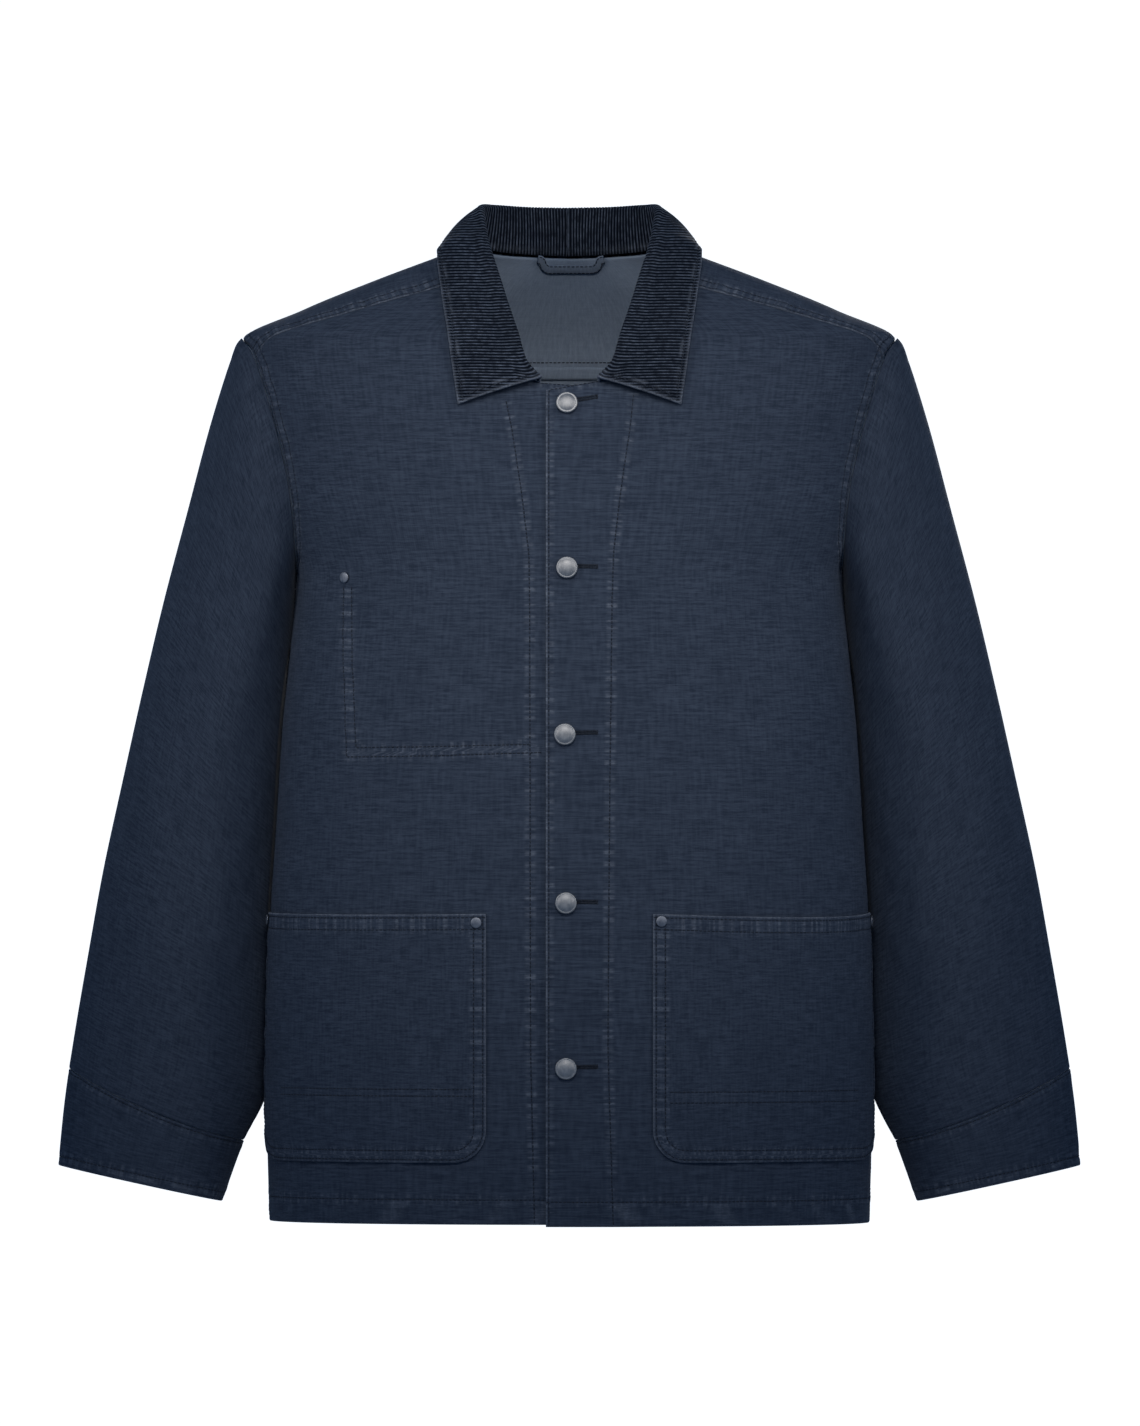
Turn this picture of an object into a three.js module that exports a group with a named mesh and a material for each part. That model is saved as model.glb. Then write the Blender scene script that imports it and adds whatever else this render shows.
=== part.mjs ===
import * as THREE from 'three';

// Cotton canvas chore jacket in its worn, filled-out form, empty inside. Millimetres.
// The front faces -Y, +X is the wearer's left and +Z is up. The origin lies on the centre
// plane, at the level of the shoulders beside the collar. Every panel lies on one torso
// form, whose level sections are ovals, so that neighbouring panels meet at shared seams.

const CANVAS = 2;
const SEAM_GAP = 0.3;
const LAP_GAP = 1.4;
const HEM_Z = -721.5;
const LAP_DROP = 1.5;
const ARMPIT_Z = -240;
const SHOULDER_Z = -62;
const BACK_YOKE_Z = -84;
const PLACKET_EDGE_X = 17.5;
const PLACKET_TOP_Z = -98;
const UNDERLAP_X = 19;
const LAP_FADE = { from: 26, to: 72 };
const OVAL = 2.2;

// Rows of a table as objects with the named columns.
function namedRows(columns, rows) {
  return rows.map((row) => Object.fromEntries(columns.map((column, i) => [column, row[i]])));
}

// Level sections of the torso: half width, and depth in front of and behind the side seams.
const torsoSections = [
  { z: -725, halfWidth: 225, front: 118, back: 118 },
  { z: -632, halfWidth: 227, front: 118, back: 115 },
  { z: -492, halfWidth: 224, front: 118, back: 108 },
  { z: -428, halfWidth: 220, front: 118, back: 105 },
  { z: -351, halfWidth: 215, front: 118, back: 105 },
  { z: -297, halfWidth: 209, front: 118, back: 108 },
  { z: -240, halfWidth: 204.2, front: 117, back: 111 },
  { z: -211, halfWidth: 212, front: 116, back: 112 },
  { z: -175, halfWidth: 224, front: 113, back: 112 },
  { z: -144, halfWidth: 231.5, front: 110, back: 110 },
  { z: -111, halfWidth: 238, front: 104, back: 104 },
  { z: -80, halfWidth: 243, front: 90, back: 96 },
  { z: -62, halfWidth: 245, front: 78, back: 91 },
  { z: -39, halfWidth: 200, front: 57, back: 81 },
  { z: -16.5, halfWidth: 145, front: 40, back: 70 },
  { z: 0, halfWidth: 101, front: 31, back: 62 },
  { z: 7, halfWidth: 82, front: 26, back: 58 },
  { z: 12, halfWidth: 68, front: 22, back: 54 },
];

// Armhole seam, the same in front and behind: distance from the centre plane at each level.
const armholeSeam = [
  { z: -240, x: 204.2 },
  { z: -211.5, x: 205.3 },
  { z: -175.5, x: 208.9 },
  { z: -144, x: 215.3 },
  { z: -111, x: 224 },
  { z: -79.5, x: 234 },
  { z: -70, x: 238.5 },
  { z: -62, x: 245 },
];

// Collar stations from the centre of the back round to one front end. neck is the seam on
// the torso form, fold is the roll line and edge is the outer edge of the leaf, which stands
// off the torso form by lift.
const collarStations = namedRows(
  ['neckX', 'neckZ', 'behind', 'foldX', 'foldY', 'foldZ',
    'edgeX', 'edgeZ', 'edgeBehind', 'lift', 'swell'],
  [
    [0, 1.5, true, 0, 66, 38.5, 0, -14, true, 8, 4],
    [30, 2.6, true, 31, 62, 39, 36, -14, true, 8, 4],
    [57, 4.7, true, 55, 47, 40, 69, -12.5, true, 7, 6],
    [74, 6.3, true, 65.5, 27, 39, 90, -8, true, 6, 9],
    [82, 7, false, 65, 5, 29, 96.5, -2.5, true, 5.2, 10],
    [81.5, -5, false, 62, -13, 15, 97, 1.5, false, 4.8, 8.5],
    [78, -17, false, 58.5, -29, 2, 97.5, -8, false, 4.2, 6],
    [71, -36, false, 53, -47, -15, 96, -22, false, 3.6, 4],
    [61, -57, false, 46.5, -66, -36, 93.5, -41, false, 3, 3],
    [48, -76, false, 39, -83, -58, 90, -63, false, 3, 3],
    [34, -89, false, 32.5, -95.5, -79, 86.5, -87, false, 3, 3],
    [20, -95.2, false, 21, -102, -91.5, 82.6, -112.5, false, 3, 2.5],
  ],
);
const YOKE_NECK_STATION = 6;

// Sleeve sections from the armhole to the cuff seam: outer and inner points in the front
// view, half depth, and distance of the section's centre behind the side seam.
const sleeveSections = [
  { outerX: 245, outerZ: -62, innerX: 204.2, innerZ: -240, halfDepth: 47, centreY: 0, sag: 0 },
  { outerX: 254, outerZ: -76.5, innerX: 205.5, innerZ: -252, halfDepth: 52, centreY: 5, sag: 0 },
  { outerX: 270, outerZ: -126, innerX: 206.5, innerZ: -280, halfDepth: 57, centreY: 17, sag: 0 },
  { outerX: 287, outerZ: -189, innerX: 208, innerZ: -330, halfDepth: 60, centreY: 29, sag: 0 },
  { outerX: 305, outerZ: -256.5, innerX: 211, innerZ: -382, halfDepth: 60, centreY: 35, sag: 0 },
  { outerX: 321, outerZ: -324, innerX: 214.5, innerZ: -434, halfDepth: 57, centreY: 37, sag: 0 },
  { outerX: 336, outerZ: -391.5, innerX: 217.5, innerZ: -488, halfDepth: 53, centreY: 36, sag: 0 },
  { outerX: 350.6, outerZ: -459, innerX: 219, innerZ: -540, halfDepth: 49, centreY: 34, sag: 1 },
  { outerX: 362.6, outerZ: -526.5, innerX: 222, innerZ: -590, halfDepth: 44, centreY: 30, sag: 2.5 },
  { outerX: 370, outerZ: -570, innerX: 228, innerZ: -628, halfDepth: 40, centreY: 25, sag: 4 },
  { outerX: 376, outerZ: -608, innerX: 244.4, innerZ: -662, halfDepth: 36, centreY: 20, sag: 6 },
];
const cuffSections = [
  { outerX: 376.1, outerZ: -608.4, innerX: 244.6, innerZ: -662.4, halfDepth: 36, centreY: 20, sag: 6 },
  { outerX: 380, outerZ: -639, innerX: 251, innerZ: -680, halfDepth: 34, centreY: 18, sag: 4 },
  { outerX: 384, outerZ: -680.5, innerX: 260.8, innerZ: -707.6, halfDepth: 32, centreY: 15, sag: 0 },
];

// The largest soft folds. Each runs from (x0, z0) to (x1, z1) on one face of a panel and
// stands out by height, or sinks in where height is negative.
const bodyFolds = [
  { behind: false, side: -1, x0: 196, z0: -250, x1: 150, z1: -420, width: 26, height: 2.2 },
  { behind: false, side: 1, x0: 196, z0: -252, x1: 158, z1: -400, width: 24, height: 2 },
  { behind: false, side: 1, x0: 120, z0: -560, x1: 110, z1: -715, width: 34, height: 1.8 },
  { behind: false, side: -1, x0: 150, z0: -300, x1: 128, z1: -470, width: 22, height: -1.8 },
  { behind: true, side: -1, x0: 182, z0: -250, x1: 110, z1: -410, width: 22, height: 3 },
  { behind: true, side: 1, x0: 184, z0: -245, x1: 122, z1: -430, width: 23, height: 2.8 },
  { behind: true, side: -1, x0: 60, z0: -330, x1: 76, z1: -700, width: 38, height: 3 },
  { behind: true, side: 1, x0: 84, z0: -380, x1: 62, z1: -700, width: 34, height: -2.6 },
  { behind: true, side: 1, x0: 160, z0: -480, x1: 168, z1: -715, width: 30, height: 2.6 },
];

const palette = {
  canvas: new THREE.MeshStandardMaterial({ color: '#2f3b4d', roughness: 0.92, metalness: 0 }),
  corduroy: new THREE.MeshStandardMaterial({ color: '#232e40', roughness: 0.96, metalness: 0 }),
  button: new THREE.MeshStandardMaterial({ color: '#85878d', roughness: 0.38, metalness: 0.9 }),
  rivet: new THREE.MeshStandardMaterial({ color: '#3c424e', roughness: 0.5, metalness: 0.8 }),
};

const jacket = new THREE.Group();

const clamp = (value, low, high) => Math.min(Math.max(value, low), high);
const lerp = (a, b, t) => a + (b - a) * t;
const smooth = (t) => t * t * (3 - 2 * t);
const steps = (count) => Array.from({ length: count + 1 }, (unused, i) => i / count);

// Smooth curve without overshoot through one column of a table whose key rises.
function monotoneCurve(table, key, column) {
  const xs = table.map((row) => row[key]);
  const ys = table.map((row) => row[column]);
  const slopes = xs.slice(1).map((x, i) => (ys[i + 1] - ys[i]) / (x - xs[i]));
  const tangents = xs.map((unused, i) => {
    const before = slopes[Math.max(i - 1, 0)];
    const after = slopes[Math.min(i, slopes.length - 1)];
    return before * after <= 0 ? 0 : (2 * before * after) / (before + after);
  });
  return (at) => {
    const x = clamp(at, xs[0], xs[xs.length - 1]);
    let i = 0;
    while (i < slopes.length - 1 && x > xs[i + 1]) i += 1;
    const span = xs[i + 1] - xs[i];
    const t = (x - xs[i]) / span;
    const rise = ys[i + 1] - ys[i];
    const startPull = t * (1 - t) ** 2 * tangents[i] * span;
    const endPull = t * t * (t - 1) * tangents[i + 1] * span;
    return ys[i] + smooth(t) * rise + startPull + endPull;
  };
}

// Smooth curve through a column of evenly spaced rows, for t from 0 to 1.
function rowCurve(table, column) {
  const last = table.length - 1;
  const value = (i) => {
    if (i < 0) return 2 * table[0][column] - table[1][column];
    if (i > last) return 2 * table[last][column] - table[last - 1][column];
    return table[i][column];
  };
  return (t) => {
    const at = clamp(t, 0, 1) * last;
    const i = Math.min(Math.floor(at), last - 1);
    const f = at - i;
    const [a, b, c, d] = [value(i - 1), value(i), value(i + 1), value(i + 2)];
    const bend = (3 * b - a - 3 * c + d) * f + (2 * a - 5 * b + 4 * c - d);
    return b + 0.5 * f * ((c - a) + f * bend);
  };
}

const halfWidthAt = monotoneCurve(torsoSections, 'z', 'halfWidth');
const frontDepthAt = monotoneCurve(torsoSections, 'z', 'front');
const backDepthAt = monotoneCurve(torsoSections, 'z', 'back');
const armholeXAt = monotoneCurve(armholeSeam, 'z', 'x');

// Level of the shoulder ridge above a point at distance x from the centre plane.
function ridgeZ(x) {
  let low = SHOULDER_Z;
  let high = torsoSections[torsoSections.length - 1].z;
  for (let i = 0; i < 40; i += 1) {
    const mid = (low + high) / 2;
    if (halfWidthAt(mid) > x) low = mid;
    else high = mid;
  }
  return (low + high) / 2;
}

// Angle round the torso of a point at distance x from the centre plane: 0 at the centre of
// the front, a quarter turn at the side seam and half a turn at the centre of the back.
function torsoAngle(x, z, behind) {
  const ratio = clamp(Math.abs(x) / halfWidthAt(z), 0, 1);
  const angle = Math.asin(ratio ** (OVAL / 2));
  return behind ? Math.PI - angle : angle;
}

function torsoPoint(side, angle, z) {
  const across = Math.abs(Math.sin(angle)) ** (2 / OVAL) * Math.sign(Math.sin(angle));
  const c = Math.cos(angle);
  const along = Math.abs(c) ** (2 / OVAL);
  const y = c > 0 ? -frontDepthAt(z) * along : backDepthAt(z) * along;
  return new THREE.Vector3(side * halfWidthAt(z) * across, y, z);
}

function torsoNormal(side, angle, z) {
  const turn = 0.02;
  const rise = 0.6;
  const around = torsoPoint(side, angle + turn, z).sub(torsoPoint(side, angle - turn, z));
  const up = torsoPoint(side, angle, z + rise).sub(torsoPoint(side, angle, z - rise));
  return around.cross(up).multiplyScalar(side).normalize();
}

// Height of the soft folds and, on the overlapping front, of the lap above the underlap.
function relief(side, angle, z, lapped) {
  const point = torsoPoint(1, angle, z);
  const behind = Math.cos(angle) < 0;
  let height = 0;
  for (const fold of bodyFolds) {
    if (fold.behind !== behind || fold.side !== side) continue;
    const dx = fold.x1 - fold.x0;
    const dz = fold.z1 - fold.z0;
    const along = ((point.x - fold.x0) * dx + (z - fold.z0) * dz) / (dx * dx + dz * dz);
    const t = clamp(along, 0, 1);
    const off = Math.hypot(point.x - fold.x0 - t * dx, z - fold.z0 - t * dz) / fold.width;
    const ends = Math.sin(Math.PI * clamp(along * 0.8 + 0.1, 0, 1));
    height += fold.height * Math.exp(-off * off) * ends;
  }
  if (lapped) {
    const x = side * point.x * Math.sign(Math.sin(angle) || 1);
    const fade = clamp((x - LAP_FADE.from) / (LAP_FADE.to - LAP_FADE.from), 0, 1);
    height += (CANVAS + LAP_GAP) * (1 - smooth(fade));
  }
  return height;
}

// Point of a panel's outer face, or deeper or prouder of it by offset.
function onTorso(side, angle, z, offset, lapped) {
  const normal = torsoNormal(side, angle, z);
  const height = offset + relief(side, angle, z, lapped);
  return torsoPoint(side, angle, z).addScaledVector(normal, height);
}

// Closed wall between an outer and an inner grid of points, as rows of columns. A tube's
// columns close on themselves.
function wallGeometry(outer, inner, tube) {
  const rows = outer.length;
  const cols = outer[0].length;
  const positions = [];
  for (const grid of [outer, inner]) {
    for (const row of grid) for (const p of row) positions.push(p.x, p.y, p.z);
  }
  const outerAt = (r, c) => r * cols + (c % cols);
  const innerAt = (r, c) => rows * cols + outerAt(r, c);
  const indices = [];
  const quad = (a, b, c, d) => indices.push(a, b, c, a, c, d);
  const spans = tube ? cols : cols - 1;
  for (let r = 0; r < rows - 1; r += 1) {
    for (let c = 0; c < spans; c += 1) {
      quad(outerAt(r, c), outerAt(r, c + 1), outerAt(r + 1, c + 1), outerAt(r + 1, c));
      quad(innerAt(r, c), innerAt(r + 1, c), innerAt(r + 1, c + 1), innerAt(r, c + 1));
    }
  }
  for (let c = 0; c < spans; c += 1) {
    quad(innerAt(0, c), innerAt(0, c + 1), outerAt(0, c + 1), outerAt(0, c));
    const top = rows - 1;
    quad(outerAt(top, c), outerAt(top, c + 1), innerAt(top, c + 1), innerAt(top, c));
  }
  if (!tube) {
    for (let r = 0; r < rows - 1; r += 1) {
      quad(outerAt(r, 0), outerAt(r + 1, 0), innerAt(r + 1, 0), innerAt(r, 0));
      const end = cols - 1;
      quad(outerAt(r, end), innerAt(r, end), innerAt(r + 1, end), outerAt(r + 1, end));
    }
  }
  const geometry = new THREE.BufferGeometry();
  geometry.setAttribute('position', new THREE.Float32BufferAttribute(positions, 3));
  geometry.setIndex(facingOut(positions, indices));
  geometry.computeVertexNormals();
  return geometry;
}

// Turns every face round where the closed surface has its inside out.
function facingOut(positions, indices) {
  let volume = 0;
  const corner = (i) => new THREE.Vector3().fromArray(positions, indices[i] * 3);
  for (let i = 0; i < indices.length; i += 3) {
    volume += corner(i).dot(corner(i + 1).cross(corner(i + 2)));
  }
  return volume > 0 ? indices : indices.reverse();
}

function addPiece(name, geometry, material) {
  const mesh = new THREE.Mesh(geometry, material);
  mesh.name = name;
  jacket.add(mesh);
  return mesh;
}

// A place near the shoulder as its distance from the centre plane and its drop: the root of
// its depth below the ridge over RIDGE_DROP, negative in front of the ridge.
const RIDGE_DROP = 100;

function dropAt(x, z, behind) {
  const drop = Math.sqrt(Math.max(ridgeZ(x) - z, 0) / RIDGE_DROP);
  return behind ? drop : -drop;
}

function overShoulder(x, drop) {
  const z = ridgeZ(x) - drop * drop * RIDGE_DROP;
  return { angle: torsoAngle(x, z, drop > 0), z };
}

// Smooth seam of one side through places of the torso form, for t from 0 at the centre of
// the back.
function shoulderSeam(places) {
  const rows = places.map(({ x, z, behind }) => ({ x, drop: dropAt(x, z, behind) }));
  const xAt = rowCurve(rows, 'x');
  const dropOf = rowCurve(rows, 'drop');
  return (t) => ({ x: xAt(t), drop: dropOf(t), ...overShoulder(xAt(t), dropOf(t)) });
}

const neckSeam = shoulderSeam(collarStations.map((row) => (
  { x: row.neckX, z: row.neckZ, behind: row.behind })));
const YOKE_NECK_T = YOKE_NECK_STATION / (collarStations.length - 1);
const YOKE_ARM_Z = -75.3;
const YOKE_SEAM_BOW = 5;

// Front seam of the yoke, for t from 0 at the neck to 1 at the armhole, moved straight up by
// shift.
function yokeFrontSeam(t, shift) {
  const start = neckSeam(YOKE_NECK_T);
  const endAngle = torsoAngle(armholeXAt(YOKE_ARM_Z) - SEAM_GAP, YOKE_ARM_Z, false);
  const angle = lerp(start.angle, endAngle, t);
  const z = lerp(start.z, YOKE_ARM_Z, t) + YOKE_SEAM_BOW * Math.sin(Math.PI * t);
  const x = torsoPoint(1, angle, z).x;
  return { angle: torsoAngle(x, z + shift, false), z: z + shift };
}

const FRONT_ROWS = { below: 12, centre: 6, neck: 6 };
const FRONT_COLS = 10;

// Front panel. Its rows run level up to the armpit. Above it they run from the centre edge
// and the neck seam to the armhole.
function addFront(name, side, lapped) {
  const rows = [];
  const edgeX = lapped ? PLACKET_EDGE_X : UNDERLAP_X;
  const hemZ = lapped ? HEM_Z - LAP_DROP : HEM_Z;
  for (const t of steps(FRONT_ROWS.below)) {
    const z = lerp(hemZ, ARMPIT_Z, t);
    rows.push({ innerAngle: -torsoAngle(edgeX, z, false), innerZ: z, outerZ: z, bow: 0 });
  }
  const aboveCount = FRONT_ROWS.centre + FRONT_ROWS.neck + 1;
  for (let i = 1; i <= aboveCount; i += 1) {
    const t = i / aboveCount;
    const outerZ = lerp(ARMPIT_Z, YOKE_ARM_Z, t);
    const bow = YOKE_SEAM_BOW * t * t;
    if (i <= FRONT_ROWS.centre) {
      const z = lerp(ARMPIT_Z, PLACKET_TOP_Z, i / FRONT_ROWS.centre);
      rows.push({ innerAngle: -torsoAngle(edgeX, z, false), innerZ: z, outerZ, bow });
    } else {
      const around = (i - FRONT_ROWS.centre - 1) / FRONT_ROWS.neck;
      const s = lerp(1, YOKE_NECK_T, around);
      rows.push({ innerAngle: neckSeam(s).angle, innerZ: neckSeam(s).z - SEAM_GAP, outerZ, bow });
    }
  }
  const faces = [0, -CANVAS].map((offset) => rows.map((row, index) => {
    if (index === rows.length - 1) {
      return steps(FRONT_COLS).map((u) => {
        const seam = yokeFrontSeam(u, -SEAM_GAP / 2);
        return onTorso(side, seam.angle, seam.z, offset, lapped);
      });
    }
    const sideGap = SEAM_GAP / 2 / frontDepthAt(row.outerZ);
    const atSeam = row.outerZ > ARMPIT_Z
      ? torsoAngle(armholeXAt(row.outerZ) - SEAM_GAP, row.outerZ, false)
      : Math.PI / 2 - sideGap ** (OVAL / 2);
    return steps(FRONT_COLS).map((u) => {
      const angle = lerp(row.innerAngle, atSeam, u);
      const z = lerp(row.innerZ, row.outerZ, u) + row.bow * Math.sin(Math.PI * u);
      return onTorso(side, angle, z, offset, lapped);
    });
  }));
  addPiece(name, wallGeometry(faces[0], faces[1], false), palette.canvas);
}

const BACK_ROWS = { below: 10, above: 8 };
const BACK_COLS = 20;

// Back panel below the yoke, from one side seam or armhole to the other.
function addBack() {
  const below = steps(BACK_ROWS.below).map((t) => lerp(HEM_Z, ARMPIT_Z, t));
  const above = steps(BACK_ROWS.above).slice(1).map((t) => lerp(ARMPIT_Z, BACK_YOKE_Z - SEAM_GAP, t));
  const faces = [0, -CANVAS].map((offset) => [...below, ...above].map((z) => {
    const sideGap = SEAM_GAP / 2 / backDepthAt(z);
    const edge = z > ARMPIT_Z
      ? torsoAngle(armholeXAt(z) - SEAM_GAP, z, true)
      : Math.PI / 2 + sideGap ** (OVAL / 2);
    return steps(BACK_COLS).map((u) => {
      const side = u < 0.5 ? -1 : 1;
      const angle = lerp(Math.PI, edge, Math.abs(2 * u - 1));
      return onTorso(side, angle, z, offset, false);
    });
  }));
  addPiece('back', wallGeometry(faces[0], faces[1], false), palette.canvas);
}

const YOKE_COLS = { shoulder: 10, back: 7 };

// One half of the yoke as rows from the neck seam to its outer edge. The outer edge runs from
// the front seam up the armhole, over the shoulder and down to the back seam, then along that
// seam to the centre.
function yokeHalf(side, offset) {
  const shoulderCount = YOKE_COLS.shoulder;
  const total = shoulderCount + YOKE_COLS.back;
  const frontDrop = dropAt(armholeXAt(YOKE_ARM_Z), YOKE_ARM_Z, false);
  const backDrop = dropAt(armholeXAt(BACK_YOKE_Z), BACK_YOKE_Z, true);
  const columns = [];
  for (let i = 0; i <= total; i += 1) {
    const neck = neckSeam(YOKE_NECK_T * (1 - i / total));
    let outerDrop = lerp(frontDrop, backDrop, i / shoulderCount);
    let outerX = armholeXForDrop(outerDrop);
    if (i > shoulderCount) {
      outerX = armholeXAt(BACK_YOKE_Z) * (1 - (i - shoulderCount) / YOKE_COLS.back);
      outerDrop = dropAt(outerX, BACK_YOKE_Z, true);
    }
    columns.push({ neckX: neck.x, neckDrop: neck.drop, outerX: outerX - SEAM_GAP, outerDrop });
  }
  const first = columns[0];
  return columns.map((column, i) => steps(FRONT_COLS).map((v) => {
    const seam = yokeFrontSeam(v, SEAM_GAP / 2);
    if (i === 0) return onTorso(side, seam.angle, seam.z, offset, false);
    const seamX = torsoPoint(1, seam.angle, seam.z).x;
    const bowX = seamX - lerp(first.neckX, first.outerX, v);
    const bowDrop = dropAt(seamX, seam.z, false) - lerp(first.neckDrop, first.outerDrop, v);
    const nearSeam = clamp(1 - i / shoulderCount, 0, 1);
    const x = lerp(column.neckX, column.outerX, v) + bowX * nearSeam;
    const drop = lerp(column.neckDrop, column.outerDrop, v) + bowDrop * nearSeam;
    const place = overShoulder(x, drop);
    return onTorso(side, place.angle, place.z, offset, false);
  }));
}

// Distance from the centre plane at which the armhole has this drop.
function armholeXForDrop(drop) {
  let low = BACK_YOKE_Z - 10;
  let high = SHOULDER_Z;
  for (let i = 0; i < 40; i += 1) {
    const z = (low + high) / 2;
    if (dropAt(armholeXAt(z), z, true) > Math.abs(drop)) low = z;
    else high = z;
  }
  return armholeXAt((low + high) / 2);
}

function addYoke() {
  const faces = [0, -CANVAS].map((offset) => {
    const left = yokeHalf(1, offset);
    const right = yokeHalf(-1, offset).slice(0, -1);
    return [...right, ...left.reverse()];
  });
  addPiece('yoke', wallGeometry(faces[0], faces[1], false), palette.canvas);
}

// Soft folds of a sleeve. Each lies at an angle round the sleeve, from the shoulder line
// towards the front, and runs between two places along it.
const sleeveFolds = [
  { start: 0.02, end: 0.34, angleFrom: 2.5, angleTo: 1.7, width: 0.3, height: 3 },
  { start: 0.3, end: 0.62, angleFrom: 2.3, angleTo: 1.5, width: 0.28, height: -2.4 },
  { start: 0.5, end: 0.92, angleFrom: 0.9, angleTo: 1.5, width: 0.34, height: 2.4 },
  { start: 0.04, end: 0.4, angleFrom: -2.5, angleTo: -1.6, width: 0.3, height: 3 },
  { start: 0.42, end: 0.86, angleFrom: -1.1, angleTo: -1.9, width: 0.32, height: -2.6 },
];

function sleeveRelief(t, psi) {
  let height = 0;
  for (const fold of sleeveFolds) {
    const along = (t - fold.start) / (fold.end - fold.start);
    if (along <= 0 || along >= 1) continue;
    const off = (psi - lerp(fold.angleFrom, fold.angleTo, along)) / fold.width;
    height += fold.height * Math.exp(-off * off) * Math.sin(Math.PI * along);
  }
  return height;
}

const SLEEVE_COLS = 20;
const SLEEVE_CLEARANCE = 2.6;

// How far a point of a sleeve moves out to lie just clear of the body's side.
function clearOfBody(point) {
  if (point.z > ARMPIT_Z || point.z < HEM_Z) return 0;
  const depth = point.y < 0 ? frontDepthAt(point.z) : backDepthAt(point.z);
  const left = 1 - (Math.abs(point.y) / depth) ** OVAL;
  if (left <= 0) return 0;
  const ease = clamp((ARMPIT_Z - point.z) / 12, 0, 1);
  const bodyX = halfWidthAt(point.z) * left ** (1 / OVAL) + SLEEVE_CLEARANCE * ease;
  return Math.max(bodyX - point.x, 0);
}

// Wall of a sleeve or cuff as rings along its table of sections. The first ring of a sleeve
// follows the armhole, and the rings below it ease into ovals.
function addTube(name, side, sections, ringCount, armhole) {
  const curves = {};
  for (const column of Object.keys(sections[0])) curves[column] = rowCurve(sections, column);
  const easeLength = 0.16;
  const armGap = 0.3;
  const ring = (t, inset) => {
    const outer = new THREE.Vector3(curves.outerX(t), 0, curves.outerZ(t));
    const inner = new THREE.Vector3(curves.innerX(t), 0, curves.innerZ(t));
    const centre = outer.clone().lerp(inner, 0.5);
    const across = outer.clone().sub(centre);
    const halfWidth = across.length();
    across.normalize();
    const halfDepth = curves.halfDepth(t);
    const armWeight = armhole ? smooth(clamp(1 - t / easeLength, 0, 1)) : 0;
    const points = [];
    for (let i = 0; i < SLEEVE_COLS; i += 1) {
      const psi = Math.PI * ((2 * i) / SLEEVE_COLS - 1);
      const c = Math.cos(psi);
      const s = Math.sin(psi);
      const point = centre.clone().addScaledVector(across, halfWidth * c);
      point.y = curves.centreY(t) - halfDepth * s;
      point.z -= curves.sag(t) * s * s;
      if (armWeight > 0) {
        const z = lerp(curves.innerZ(t), curves.outerZ(t), (1 + c) / 2);
        const holeZ = lerp(sections[0].innerZ, sections[0].outerZ, (1 + c) / 2);
        const holeX = armholeXAt(holeZ);
        const hole = torsoPoint(1, torsoAngle(holeX, holeZ, s < 0), holeZ);
        const chordX = lerp(sections[0].innerX, sections[0].outerX, (1 + c) / 2);
        point.x += (hole.x - chordX + armGap) * armWeight;
        point.y = lerp(point.y, hole.y, armWeight);
        point.z = lerp(point.z, z, armWeight);
      }
      const facing = across.clone().multiplyScalar(halfDepth * c);
      facing.y -= halfWidth * s;
      point.addScaledVector(facing.normalize(), armhole ? sleeveRelief(t, psi) : 0);
      point.x += clearOfBody(point);
      point.addScaledVector(facing, -inset);
      point.x *= side;
      points.push(point);
    }
    return points;
  };
  const faces = [0, CANVAS].map((inset) => steps(ringCount).map((t) => ring(t, inset)));
  addPiece(name, wallGeometry(faces[0], faces[1], true), palette.canvas);
}

const COLLAR_CLOTH = 2.4;
const FOLD_RADIUS = 2.2;
const COLLAR_HALF_COLS = 20;
const LEAF_ROWS = 4;

const collarCurves = {};
for (const column of ['foldX', 'foldY', 'foldZ']) {
  collarCurves[column] = rowCurve(collarStations, column);
}
const leafEdge = shoulderSeam(collarStations.map((row) => (
  { x: row.edgeX, z: row.edgeZ, behind: row.edgeBehind })));
const edgeLiftAt = rowCurve(collarStations, 'lift');
const leafSwellAt = rowCurve(collarStations, 'swell');

function neckPoint(t) {
  return onTorso(1, neckSeam(t).angle, neckSeam(t).z, -CANVAS / 2, false);
}

function foldPoint(t) {
  return new THREE.Vector3(collarCurves.foldX(t), collarCurves.foldY(t), collarCurves.foldZ(t));
}

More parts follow.
